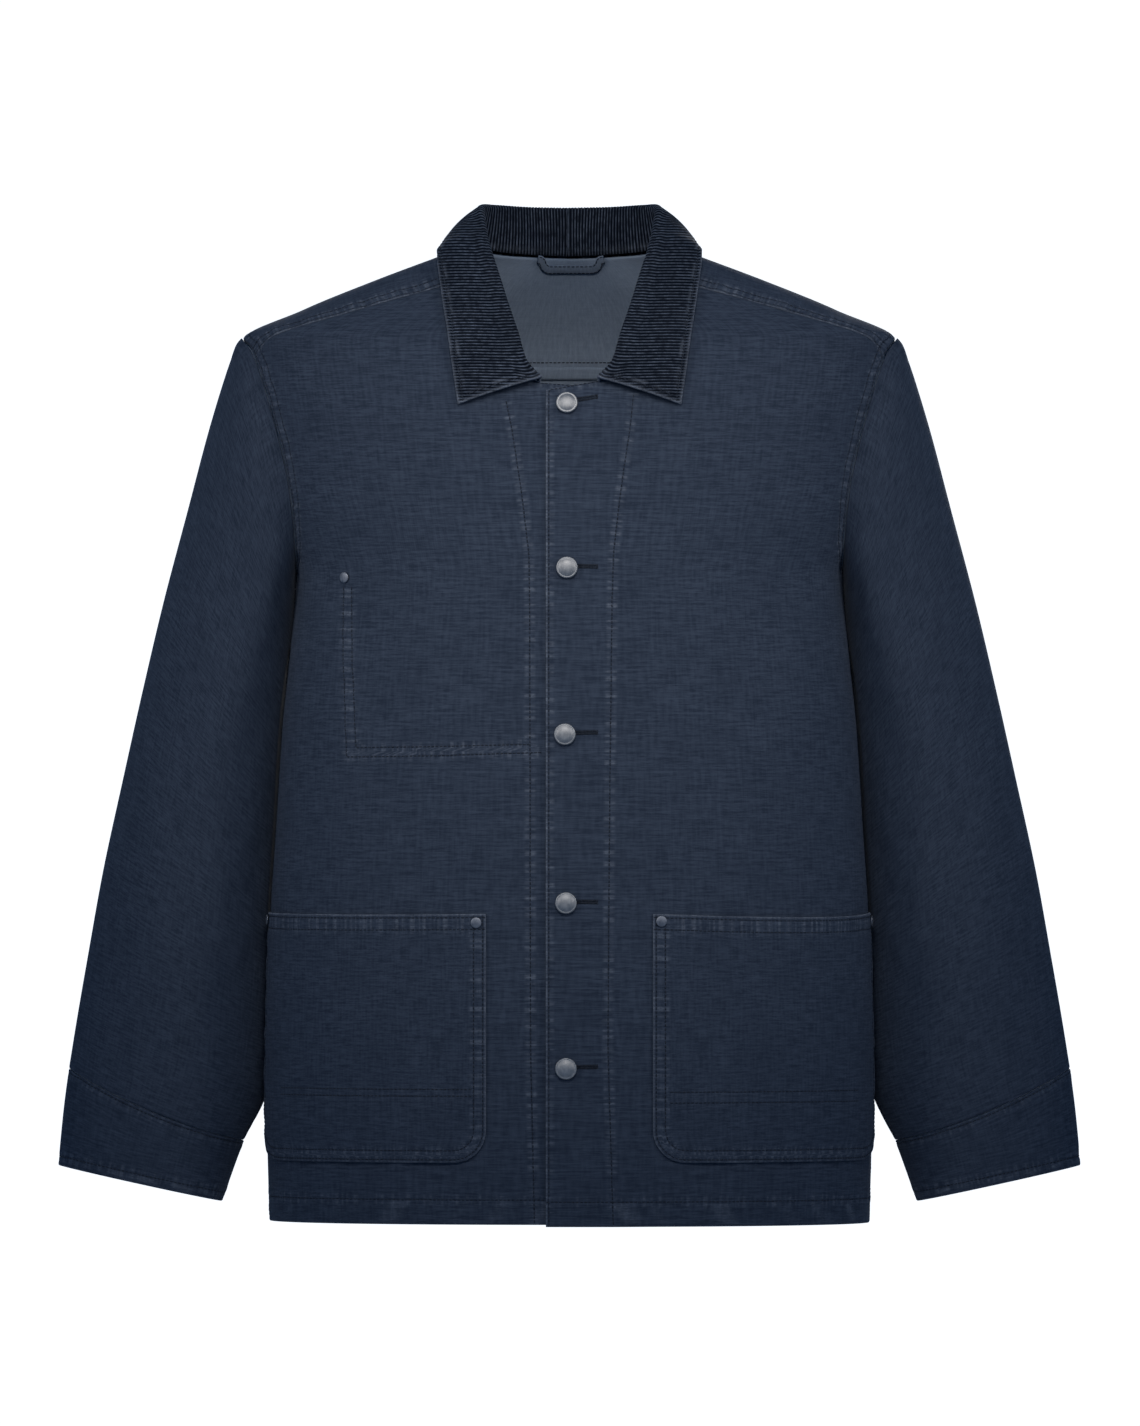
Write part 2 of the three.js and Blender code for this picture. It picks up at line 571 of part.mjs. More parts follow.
// Middle line of the collar's cloth at one station: up the stand, round the fold and down
// the leaf. It starts where the stand's thickness clears the edge of the panel below it.
function collarLine(t, side) {
  const step = 0.01;
  const neck = neckPoint(t);
  const edge = onTorso(1, leafEdge(t).angle, leafEdge(t).z, edgeLiftAt(t), side > 0);
  const lapLift = side > 0 ? Math.max(relief(1, neckSeam(t).angle, neckSeam(t).z, true), 0) : 0;
  const apex = foldPoint(t);
  apex.y -= lapLift;
  neck.y -= lapLift;
  const along = foldPoint(t + step).sub(foldPoint(t - step)).normalize();
  if (t < step) along.set(1, 0, 0);
  const up = apex.clone().sub(neck.clone().lerp(edge, 0.5));
  up.addScaledVector(along, -up.dot(along)).normalize();
  const outward = up.clone().cross(along);
  const foldCentre = apex.clone().addScaledVector(up, -FOLD_RADIUS);
  const foldStart = foldCentre.clone().addScaledVector(outward, -FOLD_RADIUS);
  const foldEnd = foldCentre.clone().addScaledVector(outward, FOLD_RADIUS);

  const seamLine = neckPoint(t + step).sub(neckPoint(t - step)).normalize();
  if (t < step) seamLine.set(1, 0, 0);
  const normal = torsoNormal(1, neckSeam(t).angle, neckSeam(t).z);
  const awayFromPanel = seamLine.cross(normal);
  const rise = foldStart.clone().sub(neck);
  if (awayFromPanel.dot(rise) < 0) awayFromPanel.negate();
  const standHeight = rise.length();
  rise.normalize();
  const bend = clamp(rise.dot(awayFromPanel), 0.45, 1);
  const tilt = Math.sqrt(1 - bend * bend);
  const start = (3 * SEAM_GAP + (COLLAR_CLOTH / 2) * tilt) / bend;
  const standStart = neck.clone().addScaledVector(rise, Math.min(start, standHeight * 0.6));

  const points = [0, 0.5].map((f) => standStart.clone().lerp(foldStart, f));
  const arcSteps = 4;
  for (let i = 0; i <= arcSteps; i += 1) {
    const turn = (Math.PI * i) / arcSteps;
    points.push(foldCentre.clone()
      .addScaledVector(outward, -FOLD_RADIUS * Math.cos(turn))
      .addScaledVector(up, FOLD_RADIUS * Math.sin(turn)));
  }
  for (const f of steps(LEAF_ROWS).slice(1)) {
    const swell = leafSwellAt(t) * 4 * f * (1 - f);
    points.push(foldEnd.clone().lerp(edge, f).addScaledVector(outward, swell));
  }
  for (const point of points) point.x *= side;
  return points;
}

function gridNormals(grid) {
  const last = (list) => list.length - 1;
  return grid.map((row, r) => row.map((unused, c) => {
    const down = grid[Math.max(r - 1, 0)][c];
    const up = grid[Math.min(r + 1, last(grid))][c];
    const before = row[Math.max(c - 1, 0)];
    const after = row[Math.min(c + 1, last(row))];
    return up.clone().sub(down).cross(after.clone().sub(before)).normalize();
  }));
}

function addCollar() {
  const left = steps(COLLAR_HALF_COLS).map((t) => collarLine(t, 1));
  const right = steps(COLLAR_HALF_COLS).slice(1).map((t) => collarLine(t, -1));
  const middle = [...right.reverse(), ...left];
  const normals = gridNormals(middle);
  const faces = [1, -1].map((way) => middle.map((row, r) => row.map((point, c) => (
    point.clone().addScaledVector(normals[r][c], (way * COLLAR_CLOTH) / 2)))));
  addPiece('collar', wallGeometry(faces[0], faces[1], false), palette.corduroy);
}

// Hanging loop: a flat strip on the inside of the yoke, with its ends turned up into the
// neck seam.
function addHangerLoop() {
  const strip = {
    halfWidth: 3.2,
    cloth: 1.5,
    leftX: -23.4,
    rightX: 25.8,
    topZ: -0.7,
    lowZ: -7.8,
    corner: 5,
  };
  const path = [];
  const corner = (centreX, from, to) => {
    for (const t of steps(4)) {
      const turn = lerp(from, to, t);
      path.push({
        x: centreX + strip.corner * Math.cos(turn),
        z: strip.lowZ + strip.corner * (1 + Math.sin(turn)),
      });
    }
  };
  path.push({ x: strip.leftX, z: strip.topZ });
  corner(strip.leftX + strip.corner, Math.PI, 1.5 * Math.PI);
  for (const t of steps(4).slice(1, -1)) {
    path.push({ x: lerp(strip.leftX + strip.corner, strip.rightX - strip.corner, t), z: strip.lowZ });
  }
  corner(strip.rightX - strip.corner, 1.5 * Math.PI, 2 * Math.PI);
  path.push({ x: strip.rightX, z: strip.topZ });
  const innerFace = CANVAS + 2 * SEAM_GAP;
  const faces = [innerFace, innerFace + strip.cloth].map((depth) => path.map((point, i) => {
    const before = path[Math.max(i - 1, 0)];
    const after = path[Math.min(i + 1, path.length - 1)];
    const length = Math.hypot(after.x - before.x, after.z - before.z);
    return [-1, 1].map((way) => {
      const reach = (way * strip.halfWidth) / length;
      const x = point.x - (after.z - before.z) * reach;
      const z = point.z + (after.x - before.x) * reach;
      return onTorso(Math.sign(x) || 1, torsoAngle(x, z, true), z, -depth, false);
    });
  }));
  addPiece('hanger_loop', wallGeometry(faces[0], faces[1], false), palette.canvas);
}

const pocket = {
  cloth: 1.6,
  seat: 0.6,
  innerX: 62,
  edgeY: 5,
  topZ: -490.5,
  bottomZ: -675.5,
  corner: 24,
  mouthGap: 1.6,
  cols: 14,
  cornerRows: 4,
  sideRows: 4,
};

// Angle on the front at a distance in front of the side seam.
function angleAtDepth(depth, z) {
  return Math.acos((depth / frontDepthAt(z)) ** (OVAL / 2));
}

// Patch pocket on the outer face of a front, with two rounded lower corners and an open
// mouth that stands a little off the front.
function addPocket(name, side, lapped, mouthSag) {
  const cornerTurn = steps(pocket.cornerRows).map((t) => ({
    z: pocket.bottomZ + pocket.corner * (1 - Math.cos((Math.PI / 2) * t)),
    inset: pocket.corner * (1 - Math.sin((Math.PI / 2) * t)),
  }));
  const straight = steps(pocket.sideRows).slice(1).map((t) => ({
    z: lerp(pocket.bottomZ + pocket.corner, pocket.topZ, t),
    inset: 0,
  }));
  const faces = [pocket.cloth, 0].map((rise) => [...cornerTurn, ...straight].map((row) => {
    const inner = torsoAngle(pocket.innerX + row.inset, row.z, false);
    const outer = angleAtDepth(pocket.edgeY + row.inset, row.z);
    const upper = clamp((row.z - pocket.topZ) / 60 + 1, 0, 1);
    return steps(pocket.cols).map((u) => {
      const middle = Math.sin(Math.PI * u) * smooth(upper);
      const gap = pocket.seat + pocket.mouthGap * middle;
      return onTorso(side, lerp(inner, outer, u), row.z - mouthSag * middle, gap + rise, lapped);
    });
  }));
  addPiece(name, wallGeometry(faces[0], faces[1], false), palette.canvas);
}

// Turned metal fastening seated on a point of the cloth, along the direction given.
function addTurned(name, profile, point, normal, material) {
  const outline = profile.map(([radius, height]) => new THREE.Vector2(radius, height));
  const mesh = addPiece(name, new THREE.LatheGeometry(outline, 16), material);
  mesh.position.copy(point);
  mesh.quaternion.setFromUnitVectors(new THREE.Vector3(0, 1, 0), normal);
}

const buttonCentres = [
  { x: -1.9, z: -111.8 },
  { x: -1.9, z: -233.3 },
  { x: -3.4, z: -357 },
  { x: -2.6, z: -482.3 },
  { x: -2.6, z: -605.3 },
];
// Domed tack button and flat rivet, as radius and height above the cloth.
const buttonProfile = [
  [0, 0.4], [3.6, 0.4], [3.6, 1.5], [7.6, 2], [8, 2.7], [7.4, 3.6], [4.4, 4.6], [0, 5],
];
const rivetProfile = [[0, 0.3], [4, 0.3], [4, 0.9], [3.3, 1.4], [0, 1.5]];

function addButtons() {
  buttonCentres.forEach((centre, i) => {
    const angle = -torsoAngle(centre.x, centre.z, false);
    const point = onTorso(1, angle, centre.z, 0, true);
    const normal = torsoNormal(1, angle, centre.z);
    addTurned(`button_${i + 1}`, buttonProfile, point, normal, palette.button);
  });
}

const rivetPlaces = [
  { name: 'rivet_chest', side: -1, x: 167.4, z: -240.2, onPocket: false },
  { name: 'rivet_right_inner', side: -1, x: 69, z: -497, onPocket: true },
  { name: 'rivet_right_outer', side: -1, depth: 11, z: -496, onPocket: true },
  { name: 'rivet_left_inner', side: 1, x: 68, z: -496, onPocket: true },
  { name: 'rivet_left_outer', side: 1, depth: 11, z: -497, onPocket: true },
];

function addRivets() {
  const pocketFace = pocket.seat + pocket.cloth;
  for (const place of rivetPlaces) {
    const angle = place.depth
      ? angleAtDepth(place.depth, place.z)
      : torsoAngle(place.x, place.z, false);
    const mouth = place.onPocket ? pocketFace + 0.3 : 0.3;
    const point = onTorso(place.side, angle, place.z, mouth, place.side > 0);
    const normal = torsoNormal(place.side, angle, place.z);
    addTurned(place.name, rivetProfile, point, normal, palette.rivet);
  }
}

addFront('front_right', -1, false);
addFront('front_left', 1, true);
addBack();
addYoke();
for (const [name, side] of [['right', -1], ['left', 1]]) {
  addTube(`sleeve_${name}`, side, sleeveSections, 17, true);
  addTube(`cuff_${name}`, side, cuffSections, 4, false);
  const mouthSag = side > 0 ? 3 : 0.8;
  addPocket(`hip_pocket_${name}`, side, side > 0, mouthSag);
}
addCollar();
addHangerLoop();
addButtons();
addRivets();

export default jacket;
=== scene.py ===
import math

import bmesh
import bpy
import numpy as np
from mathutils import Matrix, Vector
from mathutils.bvhtree import BVHTree


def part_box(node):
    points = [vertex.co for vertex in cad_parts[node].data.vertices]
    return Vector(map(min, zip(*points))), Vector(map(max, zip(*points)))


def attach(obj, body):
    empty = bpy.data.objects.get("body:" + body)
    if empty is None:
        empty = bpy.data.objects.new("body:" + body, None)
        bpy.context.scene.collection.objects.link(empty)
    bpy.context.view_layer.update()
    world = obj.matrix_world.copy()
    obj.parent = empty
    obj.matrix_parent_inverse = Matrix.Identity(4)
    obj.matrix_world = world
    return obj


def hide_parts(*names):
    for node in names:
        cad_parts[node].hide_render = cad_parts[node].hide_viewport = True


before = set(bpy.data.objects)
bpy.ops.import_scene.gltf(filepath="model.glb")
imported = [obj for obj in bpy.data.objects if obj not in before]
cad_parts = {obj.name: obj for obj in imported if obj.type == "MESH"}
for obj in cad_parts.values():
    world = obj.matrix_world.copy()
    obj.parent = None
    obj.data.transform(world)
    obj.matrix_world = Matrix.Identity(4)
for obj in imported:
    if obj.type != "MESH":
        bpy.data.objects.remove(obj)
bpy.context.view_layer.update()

# Navy cotton canvas chore jacket in its worn, filled-out form, empty inside. The front faces
# -Y, +X is the wearer's left and +Z is up. Sizes are in millimetres until a mesh is made.

MM = 0.001
CANVAS = 2
SEAM_GAP = 0.3
LAP_GAP = 1.4
ARMPIT_Z = -240
SHOULDER_Z = -62
BACK_YOKE_Z = -84
PLACKET_EDGE_X = 17.5
PLACKET_TOP_Z = -98
LAPPED_TOP_Z = -102
UNDERLAP_X = 19
LAP_FADE = (26, 72)
OVAL = 2.2
RIDGE_DROP = 100
# Stands for a distance to something that isn't near
FAR = 99.0


def node_box(node):
    low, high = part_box(node)
    return np.array(low) / MM, np.array(high) / MM


HEM_Z = node_box("front_right")[0][2]
LAPPED_HEM_Z = node_box("front_left")[0][2]

# Level sections of the torso: z, half width, and depth in front of and behind the side seams.
TORSO_SECTIONS = np.array([
    (-725, 225, 118, 118),
    (-632, 227, 118, 115),
    (-492, 224, 118, 108),
    (-428, 220, 118, 105),
    (-351, 215, 118, 105),
    (-297, 209, 118, 108),
    (-240, 204.2, 117, 111),
    (-211, 212, 116, 112),
    (-175, 224, 113, 112),
    (-144, 231.5, 110, 110),
    (-111, 238, 104, 104),
    (-80, 243, 90, 96),
    (-62, 245, 78, 91),
    (-39, 200, 57, 81),
    (-16.5, 145, 40, 70),
    (0, 101, 31, 62),
    (7, 82, 26, 58),
    (12, 68, 22, 54),
])

# Armhole seam, the same in front and behind: level and distance from the centre plane.
ARMHOLE_SEAM = np.array([
    (-240, 204.2),
    (-211.5, 205.3),
    (-175.5, 208.9),
    (-144, 215.3),
    (-111, 224),
    (-79.5, 234),
    (-70, 238.5),
    (-62, 245),
])

# Collar stations from the centre of the back to one front end: neck seam (x, z, behind),
# roll line (x, y, z), outer edge (x, z, behind), its lift off the torso form and the swell
# of the leaf.
COLLAR_STATIONS = np.array([
    (0, 1.5, 1, 0, 66, 38.5, 0, -14, 1, 8, 4),
    (30, 2.6, 1, 31, 62, 39, 36, -14, 1, 8, 4),
    (57, 4.7, 1, 55, 47, 40, 69, -12.5, 1, 7, 6),
    (74, 6.3, 1, 65.5, 27, 39, 90, -8, 1, 6, 7),
    (82, 7, 0, 65, 5, 29, 96.5, -2.5, 1, 5.2, 7.2),
    (81.5, -5, 0, 62, -13, 15, 97, 1.5, 0, 4.8, 6.6),
    (78, -17, 0, 58.5, -29, 2, 97.5, -8, 0, 4.2, 6),
    (71, -36, 0, 53, -47, -15, 96, -22, 0, 3.6, 4),
    (61, -57, 0, 46.5, -66, -36, 93.5, -41, 0, 3, 3),
    (48, -76, 0, 39, -83, -58, 90, -63, 0, 3, 3),
    (34, -89, 0, 32.5, -95.5, -79, 86.5, -87, 0, 3, 3),
    (20, -95.2, 0, 21, -102, -91.5, 82.6, -112.5, 0, 3, 2.5),
])
YOKE_STATION = 6
YOKE_NECK_T = YOKE_STATION / (len(COLLAR_STATIONS) - 1)

# Sleeve sections from the armhole to the cuff seam: outer (x, z) and inner (x, z) points in
# the front view, half depth, distance of the centre behind the side seam, and sag.
SLEEVE_SECTIONS = np.array([
    (245, -62, 204.2, -240, 47, 0, 0),
    (254, -76.5, 205.5, -252, 52, 5, 0),
    (270, -126, 206.5, -280, 57, 17, 0),
    (287, -189, 208, -330, 60, 29, 0),
    (305, -256.5, 211, -382, 60, 35, 0),
    (321, -324, 214.5, -434, 57, 37, 0),
    (336, -391.5, 217.5, -488, 53, 36, 0),
    (350.6, -459, 219, -540, 49, 34, 1),
    (362.6, -526.5, 222, -590, 44, 30, 2.5),
    (370, -570, 228, -628, 40, 25, 4),
    (376, -608, 244.4, -662, 36, 20, 6),
])
CUFF_SECTIONS = np.array([
    (376.1, -608.4, 244.6, -662.4, 36, 20, 6),
    (380, -639, 251, -680, 34, 18, 4),
    (384, -680.5, 260.8, -707.6, 32, 15, 0),
])

# Soft folds and creases of the body. Each runs from (x0, z0) to (x1, z1) on one face of a
# panel, bowed sideways by bend, and stands out by height, or sinks in where it is negative:
# behind, side, x0, z0, x1, z1, width, height, bend.
BODY_FOLDS = [
    (0, -1, 196, -250, 150, -420, 26, 2.2, 0),
    (0, 1, 196, -252, 158, -400, 24, 2, 0),
    (0, 1, 120, -560, 110, -715, 34, 1.8, 0),
    (0, -1, 150, -300, 128, -470, 22, -1.8, 0),
    (1, -1, 182, -250, 110, -410, 22, 3, 0),
    (1, 1, 184, -245, 122, -430, 23, 2.8, 0),
    (1, -1, 60, -330, 76, -700, 38, 3, 0),
    (1, 1, 84, -380, 62, -700, 34, -2.6, 0),
    (1, 1, 160, -480, 168, -715, 30, 2.6, 0),
]
BODY_CREASES = [
    (0, -1, 202, -232, 172, -310, 9, 1.1, 6),
    (0, -1, 186, -236, 150, -292, 11, -0.9, 4),
    (0, 1, 201, -235, 168, -322, 10, 1.0, 7),
    (0, 1, 183, -228, 146, -276, 9, -0.8, 3),
    (0, 1, 128, -300, 104, -452, 17, -1.1, 8),
    (0, -1, 84, -398, 70, -488, 15, 0.9, 5),
    (0, 1, 96, -150, 130, -212, 20, 0.8, 6),
    (0, -1, 104, -146, 138, -206, 18, 0.7, 5),
    (1, -1, 198, -236, 150, -300, 9, 1.5, 6),
    (1, 1, 196, -232, 140, -306, 10, -1.3, 7),
    (1, -1, 120, -160, 60, -250, 16, -1.4, 12),
    (1, 1, 132, -150, 58, -262, 18, 1.3, 14),
    (1, -1, 118, -430, 128, -640, 16, -1.6, 9),
    (1, 1, 118, -420, 110, -580, 14, 1.5, 8),
    (1, -1, 20, -420, 34, -600, 15, -1.3, 6),
    (1, 1, 30, -300, 22, -470, 18, 1.1, 5),
]

# Folds and creases of a sleeve. Each lies at an angle round the sleeve, from the shoulder
# line towards the front, and runs between two places along it:
# start, end, angle from, angle to, width, height.
SLEEVE_FOLDS = [
    (-0.05, 0.1, 0, 0, 0.55, 2.6),
    (0.02, 0.34, 2.5, 1.7, 0.3, 3),
    (0.3, 0.62, 2.3, 1.5, 0.28, -2.4),
    (0.5, 0.92, 0.9, 1.5, 0.34, 2.4),
    (0.04, 0.4, -2.5, -1.6, 0.3, 3),
    (0.42, 0.86, -1.1, -1.9, 0.32, -2.6),
]
SLEEVE_CREASES = [
    (0.05, 0.2, 2.2, 1.7, 0.12, -1.3),
    (0.1, 0.27, 1.5, 1.1, 0.16, 1.0),
    (0.44, 0.6, 2.7, 1.9, 0.13, 1.4),
    (0.52, 0.67, 2.2, 1.3, 0.12, -1.2),
    (0.6, 0.74, 2.6, 2.0, 0.1, 1.0),
    (0.72, 0.99, 1.9, 1.6, 0.15, -1.3),
    (0.78, 0.99, 1.1, 1.2, 0.13, 0.9),
    (0.46, 0.6, -2.6, -1.8, 0.13, 1.6),
    (0.55, 0.7, -2.1, -1.4, 0.12, -1.4),
    (0.75, 0.98, -1.7, -1.5, 0.14, 1.2),
    (0.08, 0.24, -1.9, -1.3, 0.14, -1.3),
]


def lerp(a, b, t):
    return a + (b - a) * t


def smooth(t):
    t = np.clip(t, 0, 1)
    return t * t * (3 - 2 * t)


def unit(vectors):
    return vectors / np.maximum(np.linalg.norm(vectors, axis=-1, keepdims=True), 1e-12)


def dot(a, b):
    return np.sum(a * b, axis=-1, keepdims=True)


# Bell-shaped band that is 1 at its centre and fades out over a width on both sides.
def bell(distance, width, centre=0):
    return np.exp(-((distance - centre) / width) ** 2)


# Smooth curve without overshoot through values at rising keys.
def monotone_curve(keys, values):
    slopes = np.diff(values) / np.diff(keys)
    before = np.concatenate([slopes[:1], slopes])
    after = np.concatenate([slopes, slopes[-1:]])
    product = before * after
    total = np.where(product > 0, before + after, 1)
    tangents = np.where(product > 0, 2 * product / total, 0)

    def curve(at):
        x = np.clip(at, keys[0], keys[-1])
        i = np.clip(np.searchsorted(keys, x) - 1, 0, len(slopes) - 1)
        span = keys[i + 1] - keys[i]
        t = (x - keys[i]) / span
        pull = t * (1 - t) ** 2 * tangents[i] + t * t * (t - 1) * tangents[i + 1]
        return lerp(values[i], values[i + 1], smooth(t)) + pull * span

    return curve


# Smooth curve through evenly spaced values, for t from 0 to 1.
def row_curve(values):
    values = np.asarray(values, float)
    ends = (2 * values[0] - values[1], 2 * values[-1] - values[-2])
    padded = np.concatenate([[ends[0]], values, [ends[1]]])
    last = len(values) - 1

    def curve(t):
        at = np.clip(t, 0, 1) * last
        i = np.minimum(np.floor(at).astype(int), last - 1)
        f = at - i
        a, b, c, d = (padded[i + k] for k in range(4))
        bend = (3 * b - a - 3 * c + d) * f + (2 * a - 5 * b + 4 * c - d)
        return b + 0.5 * f * ((c - a) + f * bend)

    return curve


half_width_at = monotone_curve(TORSO_SECTIONS[:, 0], TORSO_SECTIONS[:, 1])
front_depth_at = monotone_curve(TORSO_SECTIONS[:, 0], TORSO_SECTIONS[:, 2])
back_depth_at = monotone_curve(TORSO_SECTIONS[:, 0], TORSO_SECTIONS[:, 3])
armhole_x_at = monotone_curve(ARMHOLE_SEAM[:, 0], ARMHOLE_SEAM[:, 1])


HALVINGS = 40


# Level between two bounds up to which a test holds, one for each item of a shape.
def level_where(shape, low, high, holds):
    low = np.full_like(shape, low, dtype=float)
    high = np.full_like(shape, high, dtype=float)
    for _ in range(HALVINGS):
        middle = (low + high) / 2
        held = holds(middle)
        low = np.where(held, middle, low)
        high = np.where(held, high, middle)
    return (low + high) / 2


# Level of the shoulder ridge above points at distance x from the centre plane.
def ridge_z(x):
    return level_where(x, SHOULDER_Z, TORSO_SECTIONS[-1, 0], lambda z: half_width_at(z) > x)


# Angle round the torso: 0 at the centre of the front, a quarter turn at the side seam and
# half a turn at the centre of the back.
def torso_angle(x, z, behind):
    ratio = np.clip(np.abs(x) / half_width_at(z), 0, 1)
    angle = np.arcsin(ratio ** (OVAL / 2))
    return np.where(behind, np.pi - angle, angle)


def torso_point(side, angle, z):
    across = np.abs(np.sin(angle)) ** (2 / OVAL) * np.sign(np.sin(angle))
    along = np.abs(np.cos(angle)) ** (2 / OVAL)
    depth = np.where(np.cos(angle) > 0, -front_depth_at(z), back_depth_at(z))
    return np.stack([side * half_width_at(z) * across, depth * along, z + 0 * across], -1)


def torso_normal(side, angle, z):
    turn, rise = 0.02, 0.6
    around = torso_point(side, angle + turn, z) - torso_point(side, angle - turn, z)
    up = torso_point(side, angle, z + rise) - torso_point(side, angle, z - rise)
    return unit(np.cross(around, up) * np.asarray(side)[..., None])


FOLD_END = 0.1


def fold_height(folds, side, x, z, behind):
    height = np.zeros_like(x)
    for fold_behind, fold_side, x0, z0, x1, z1, width, rise, bend in folds:
        dx, dz = x1 - x0, z1 - z0
        length = math.hypot(dx, dz)
        along = ((x - x0) * dx + (z - z0) * dz) / length ** 2
        t = np.clip(along, 0, 1)
        bow = bend * np.sin(np.pi * t)
        off_x = x - x0 - t * dx - bow * dz / length
        off_z = z - z0 - t * dz + bow * dx / length
        ends = np.sin(np.pi * np.clip(along * (1 - 2 * FOLD_END) + FOLD_END, 0, 1))
        bump = rise * np.exp(-(off_x ** 2 + off_z ** 2) / width ** 2) * ends
        height += np.where((behind == fold_behind) & (side == fold_side), bump, 0)
    return height


# Height of the soft folds and, on the overlapping front, of the lap above the underlap.
def relief(side, angle, z, lapped):
    x = torso_point(1, angle, z)[..., 0]
    behind = (np.cos(angle) < 0).astype(int)
    height = fold_height(BODY_FOLDS, side, x, z, behind)
    if lapped:
        fade = (side * x - LAP_FADE[0]) / (LAP_FADE[1] - LAP_FADE[0])
        height = height + (CANVAS + LAP_GAP) * (1 - smooth(fade))
    return height


def creases(side, angle, z):
    x = torso_point(1, angle, z)[..., 0]
    behind = (np.cos(angle) < 0).astype(int)
    return fold_height(BODY_CREASES, side, x, z, behind)


def on_torso(side, angle, z, offset, lapped, creased=True):
    height = offset + relief(side, angle, z, lapped)
    if creased:
        height = height + creases(side, angle, z)
    return torso_point(side, angle, z) + torso_normal(side, angle, z) * height[..., None]


# A place near the shoulder as its distance from the centre plane and its drop: the root of
# its depth below the ridge over RIDGE_DROP, negative in front of the ridge.
def drop_at(x, z, behind):
    drop = np.sqrt(np.maximum(ridge_z(x) - z, 0) / RIDGE_DROP)
    return np.where(behind, drop, -drop)


def over_shoulder(x, drop):
    z = ridge_z(x) - drop * drop * RIDGE_DROP
    return torso_angle(x, z, drop > 0), z


def shoulder_seam(x, z, behind):
    x_at = row_curve(x)
    drop_of = row_curve(drop_at(x, z, behind > 0))

    def seam(t):
        angle, level = over_shoulder(x_at(t), drop_of(t))
        return x_at(t), drop_of(t), angle, level

    return seam


neck_seam = shoulder_seam(*COLLAR_STATIONS[:, 0:3].T)
leaf_edge = shoulder_seam(*COLLAR_STATIONS[:, 6:9].T)
fold_curves = [row_curve(COLLAR_STATIONS[:, column]) for column in (3, 4, 5)]
edge_lift_at = row_curve(COLLAR_STATIONS[:, 9])
leaf_swell_at = row_curve(COLLAR_STATIONS[:, 10])

YOKE_ARM_Z = -75.3
YOKE_SEAM_BOW = 5


# Front seam of the yoke, for t from 0 at the neck to 1 at the armhole, moved up by shift.
def yoke_front_seam(t, shift):
    _, _, start_angle, start_z = neck_seam(np.array(YOKE_NECK_T))
    end_angle = torso_angle(armhole_x_at(YOKE_ARM_Z) - SEAM_GAP, YOKE_ARM_Z, False)
    angle = lerp(start_angle, end_angle, t)
    z = lerp(start_z, YOKE_ARM_Z, t) + YOKE_SEAM_BOW * np.sin(np.pi * t)
    x = torso_point(1, angle, z)[..., 0]
    return torso_angle(x, z + shift, False), z + shift


# Steps from 0 to 1 that lie closer together near the ends named.
def steps(count, dense_start=0.0, dense_end=0.0):
    s = np.linspace(0, 1, count + 1)
    pull = dense_start * np.sin(np.pi * s) * (1 - s) + dense_end * -np.sin(np.pi * s) * s
    return s - pull / np.pi


WAVE_KNOTS = 512


# Random smooth wave from -1 to 1 with one knot for each unit of position.
def wander(position, seed):
    values = np.random.default_rng(seed).uniform(-1, 1, WAVE_KNOTS)
    cell = np.floor(position).astype(int)
    return lerp(values[cell % WAVE_KNOTS], values[(cell + 1) % WAVE_KNOTS], smooth(position - cell))


# Distance of points to a line of points, and how far along it the nearest place lies.
def nearest_on(points, line, reach):
    flat = points.reshape(-1, 3)
    distance = np.full(len(flat), np.inf)
    place = np.zeros(len(flat))
    near = np.all((flat > line.min(0) - reach) & (flat < line.max(0) + reach), axis=1)
    index = np.nonzero(near)[0]
    chosen = flat[index]
    best = np.full(len(chosen), np.inf)
    best_place = np.zeros(len(chosen))
    travelled = 0.0
    for start, end in zip(line[:-1], line[1:]):
        run = end - start
        length = np.linalg.norm(run)
        if length == 0:
            continue
        offset = chosen - start
        t = np.clip(offset @ run / length ** 2, 0, 1)
        gap = np.linalg.norm(offset - t[:, None] * run, axis=1)
        closer = gap < best
        best = np.where(closer, gap, best)
        best_place = np.where(closer, travelled + t * length, best_place)
        travelled += length
    distance[index] = best
    place[index] = best_place
    return distance.reshape(points.shape[:-1]), place.reshape(points.shape[:-1])


# Distance of each grid point from the first or last row or column, along the cloth.
def border_distance(grid, axis, from_end):
    gaps = np.linalg.norm(np.diff(grid, axis=axis), axis=-1)
    zero = np.zeros_like(np.take(gaps, [0], axis=axis))
    travelled = np.concatenate([zero, np.cumsum(gaps, axis=axis)], axis=axis)
    if from_end:
        travelled = np.take(travelled, [-1], axis=axis) - travelled
    return travelled


# Line on a grid at a set distance from one of its borders.
def inset_line(grid, axis, from_end, distance, step=3):
    travelled = border_distance(grid, axis, from_end)
    if axis == 0:
        grid, travelled = np.swapaxes(grid, 0, 1), travelled.T
    if from_end:
        grid, travelled = grid[:, ::-1], travelled[:, ::-1]
    picked = sorted(set(range(0, len(grid), step)) | {len(grid) - 1})
    line = []
    for i in picked:
        if travelled[i, -1] < distance:
            continue
        line.append([np.interp(distance, travelled[i], grid[i, :, k]) for k in range(3)])
    return np.array(line)


# Evenly spaced points along a line.
def resample(line, spacing):
    gaps = np.linalg.norm(np.diff(line, axis=0), axis=1)
    travelled = np.concatenate([[0], np.cumsum(gaps)])
    count = max(int(travelled[-1] / spacing), 2)
    at = np.linspace(0, travelled[-1], count + 1)
    return np.stack([np.interp(at, travelled, line[:, k]) for k in range(3)], -1)


class Row:
    """A row of stitches: the cloth sinks along it and puckers beside it."""

    def __init__(self, line, seed, groove=0.4, pucker=0.45, worn=0.5):
        self.line = np.asarray(line, float)
        self.seed = seed
        self.groove = groove
        self.pucker = pucker
        self.worn = worn


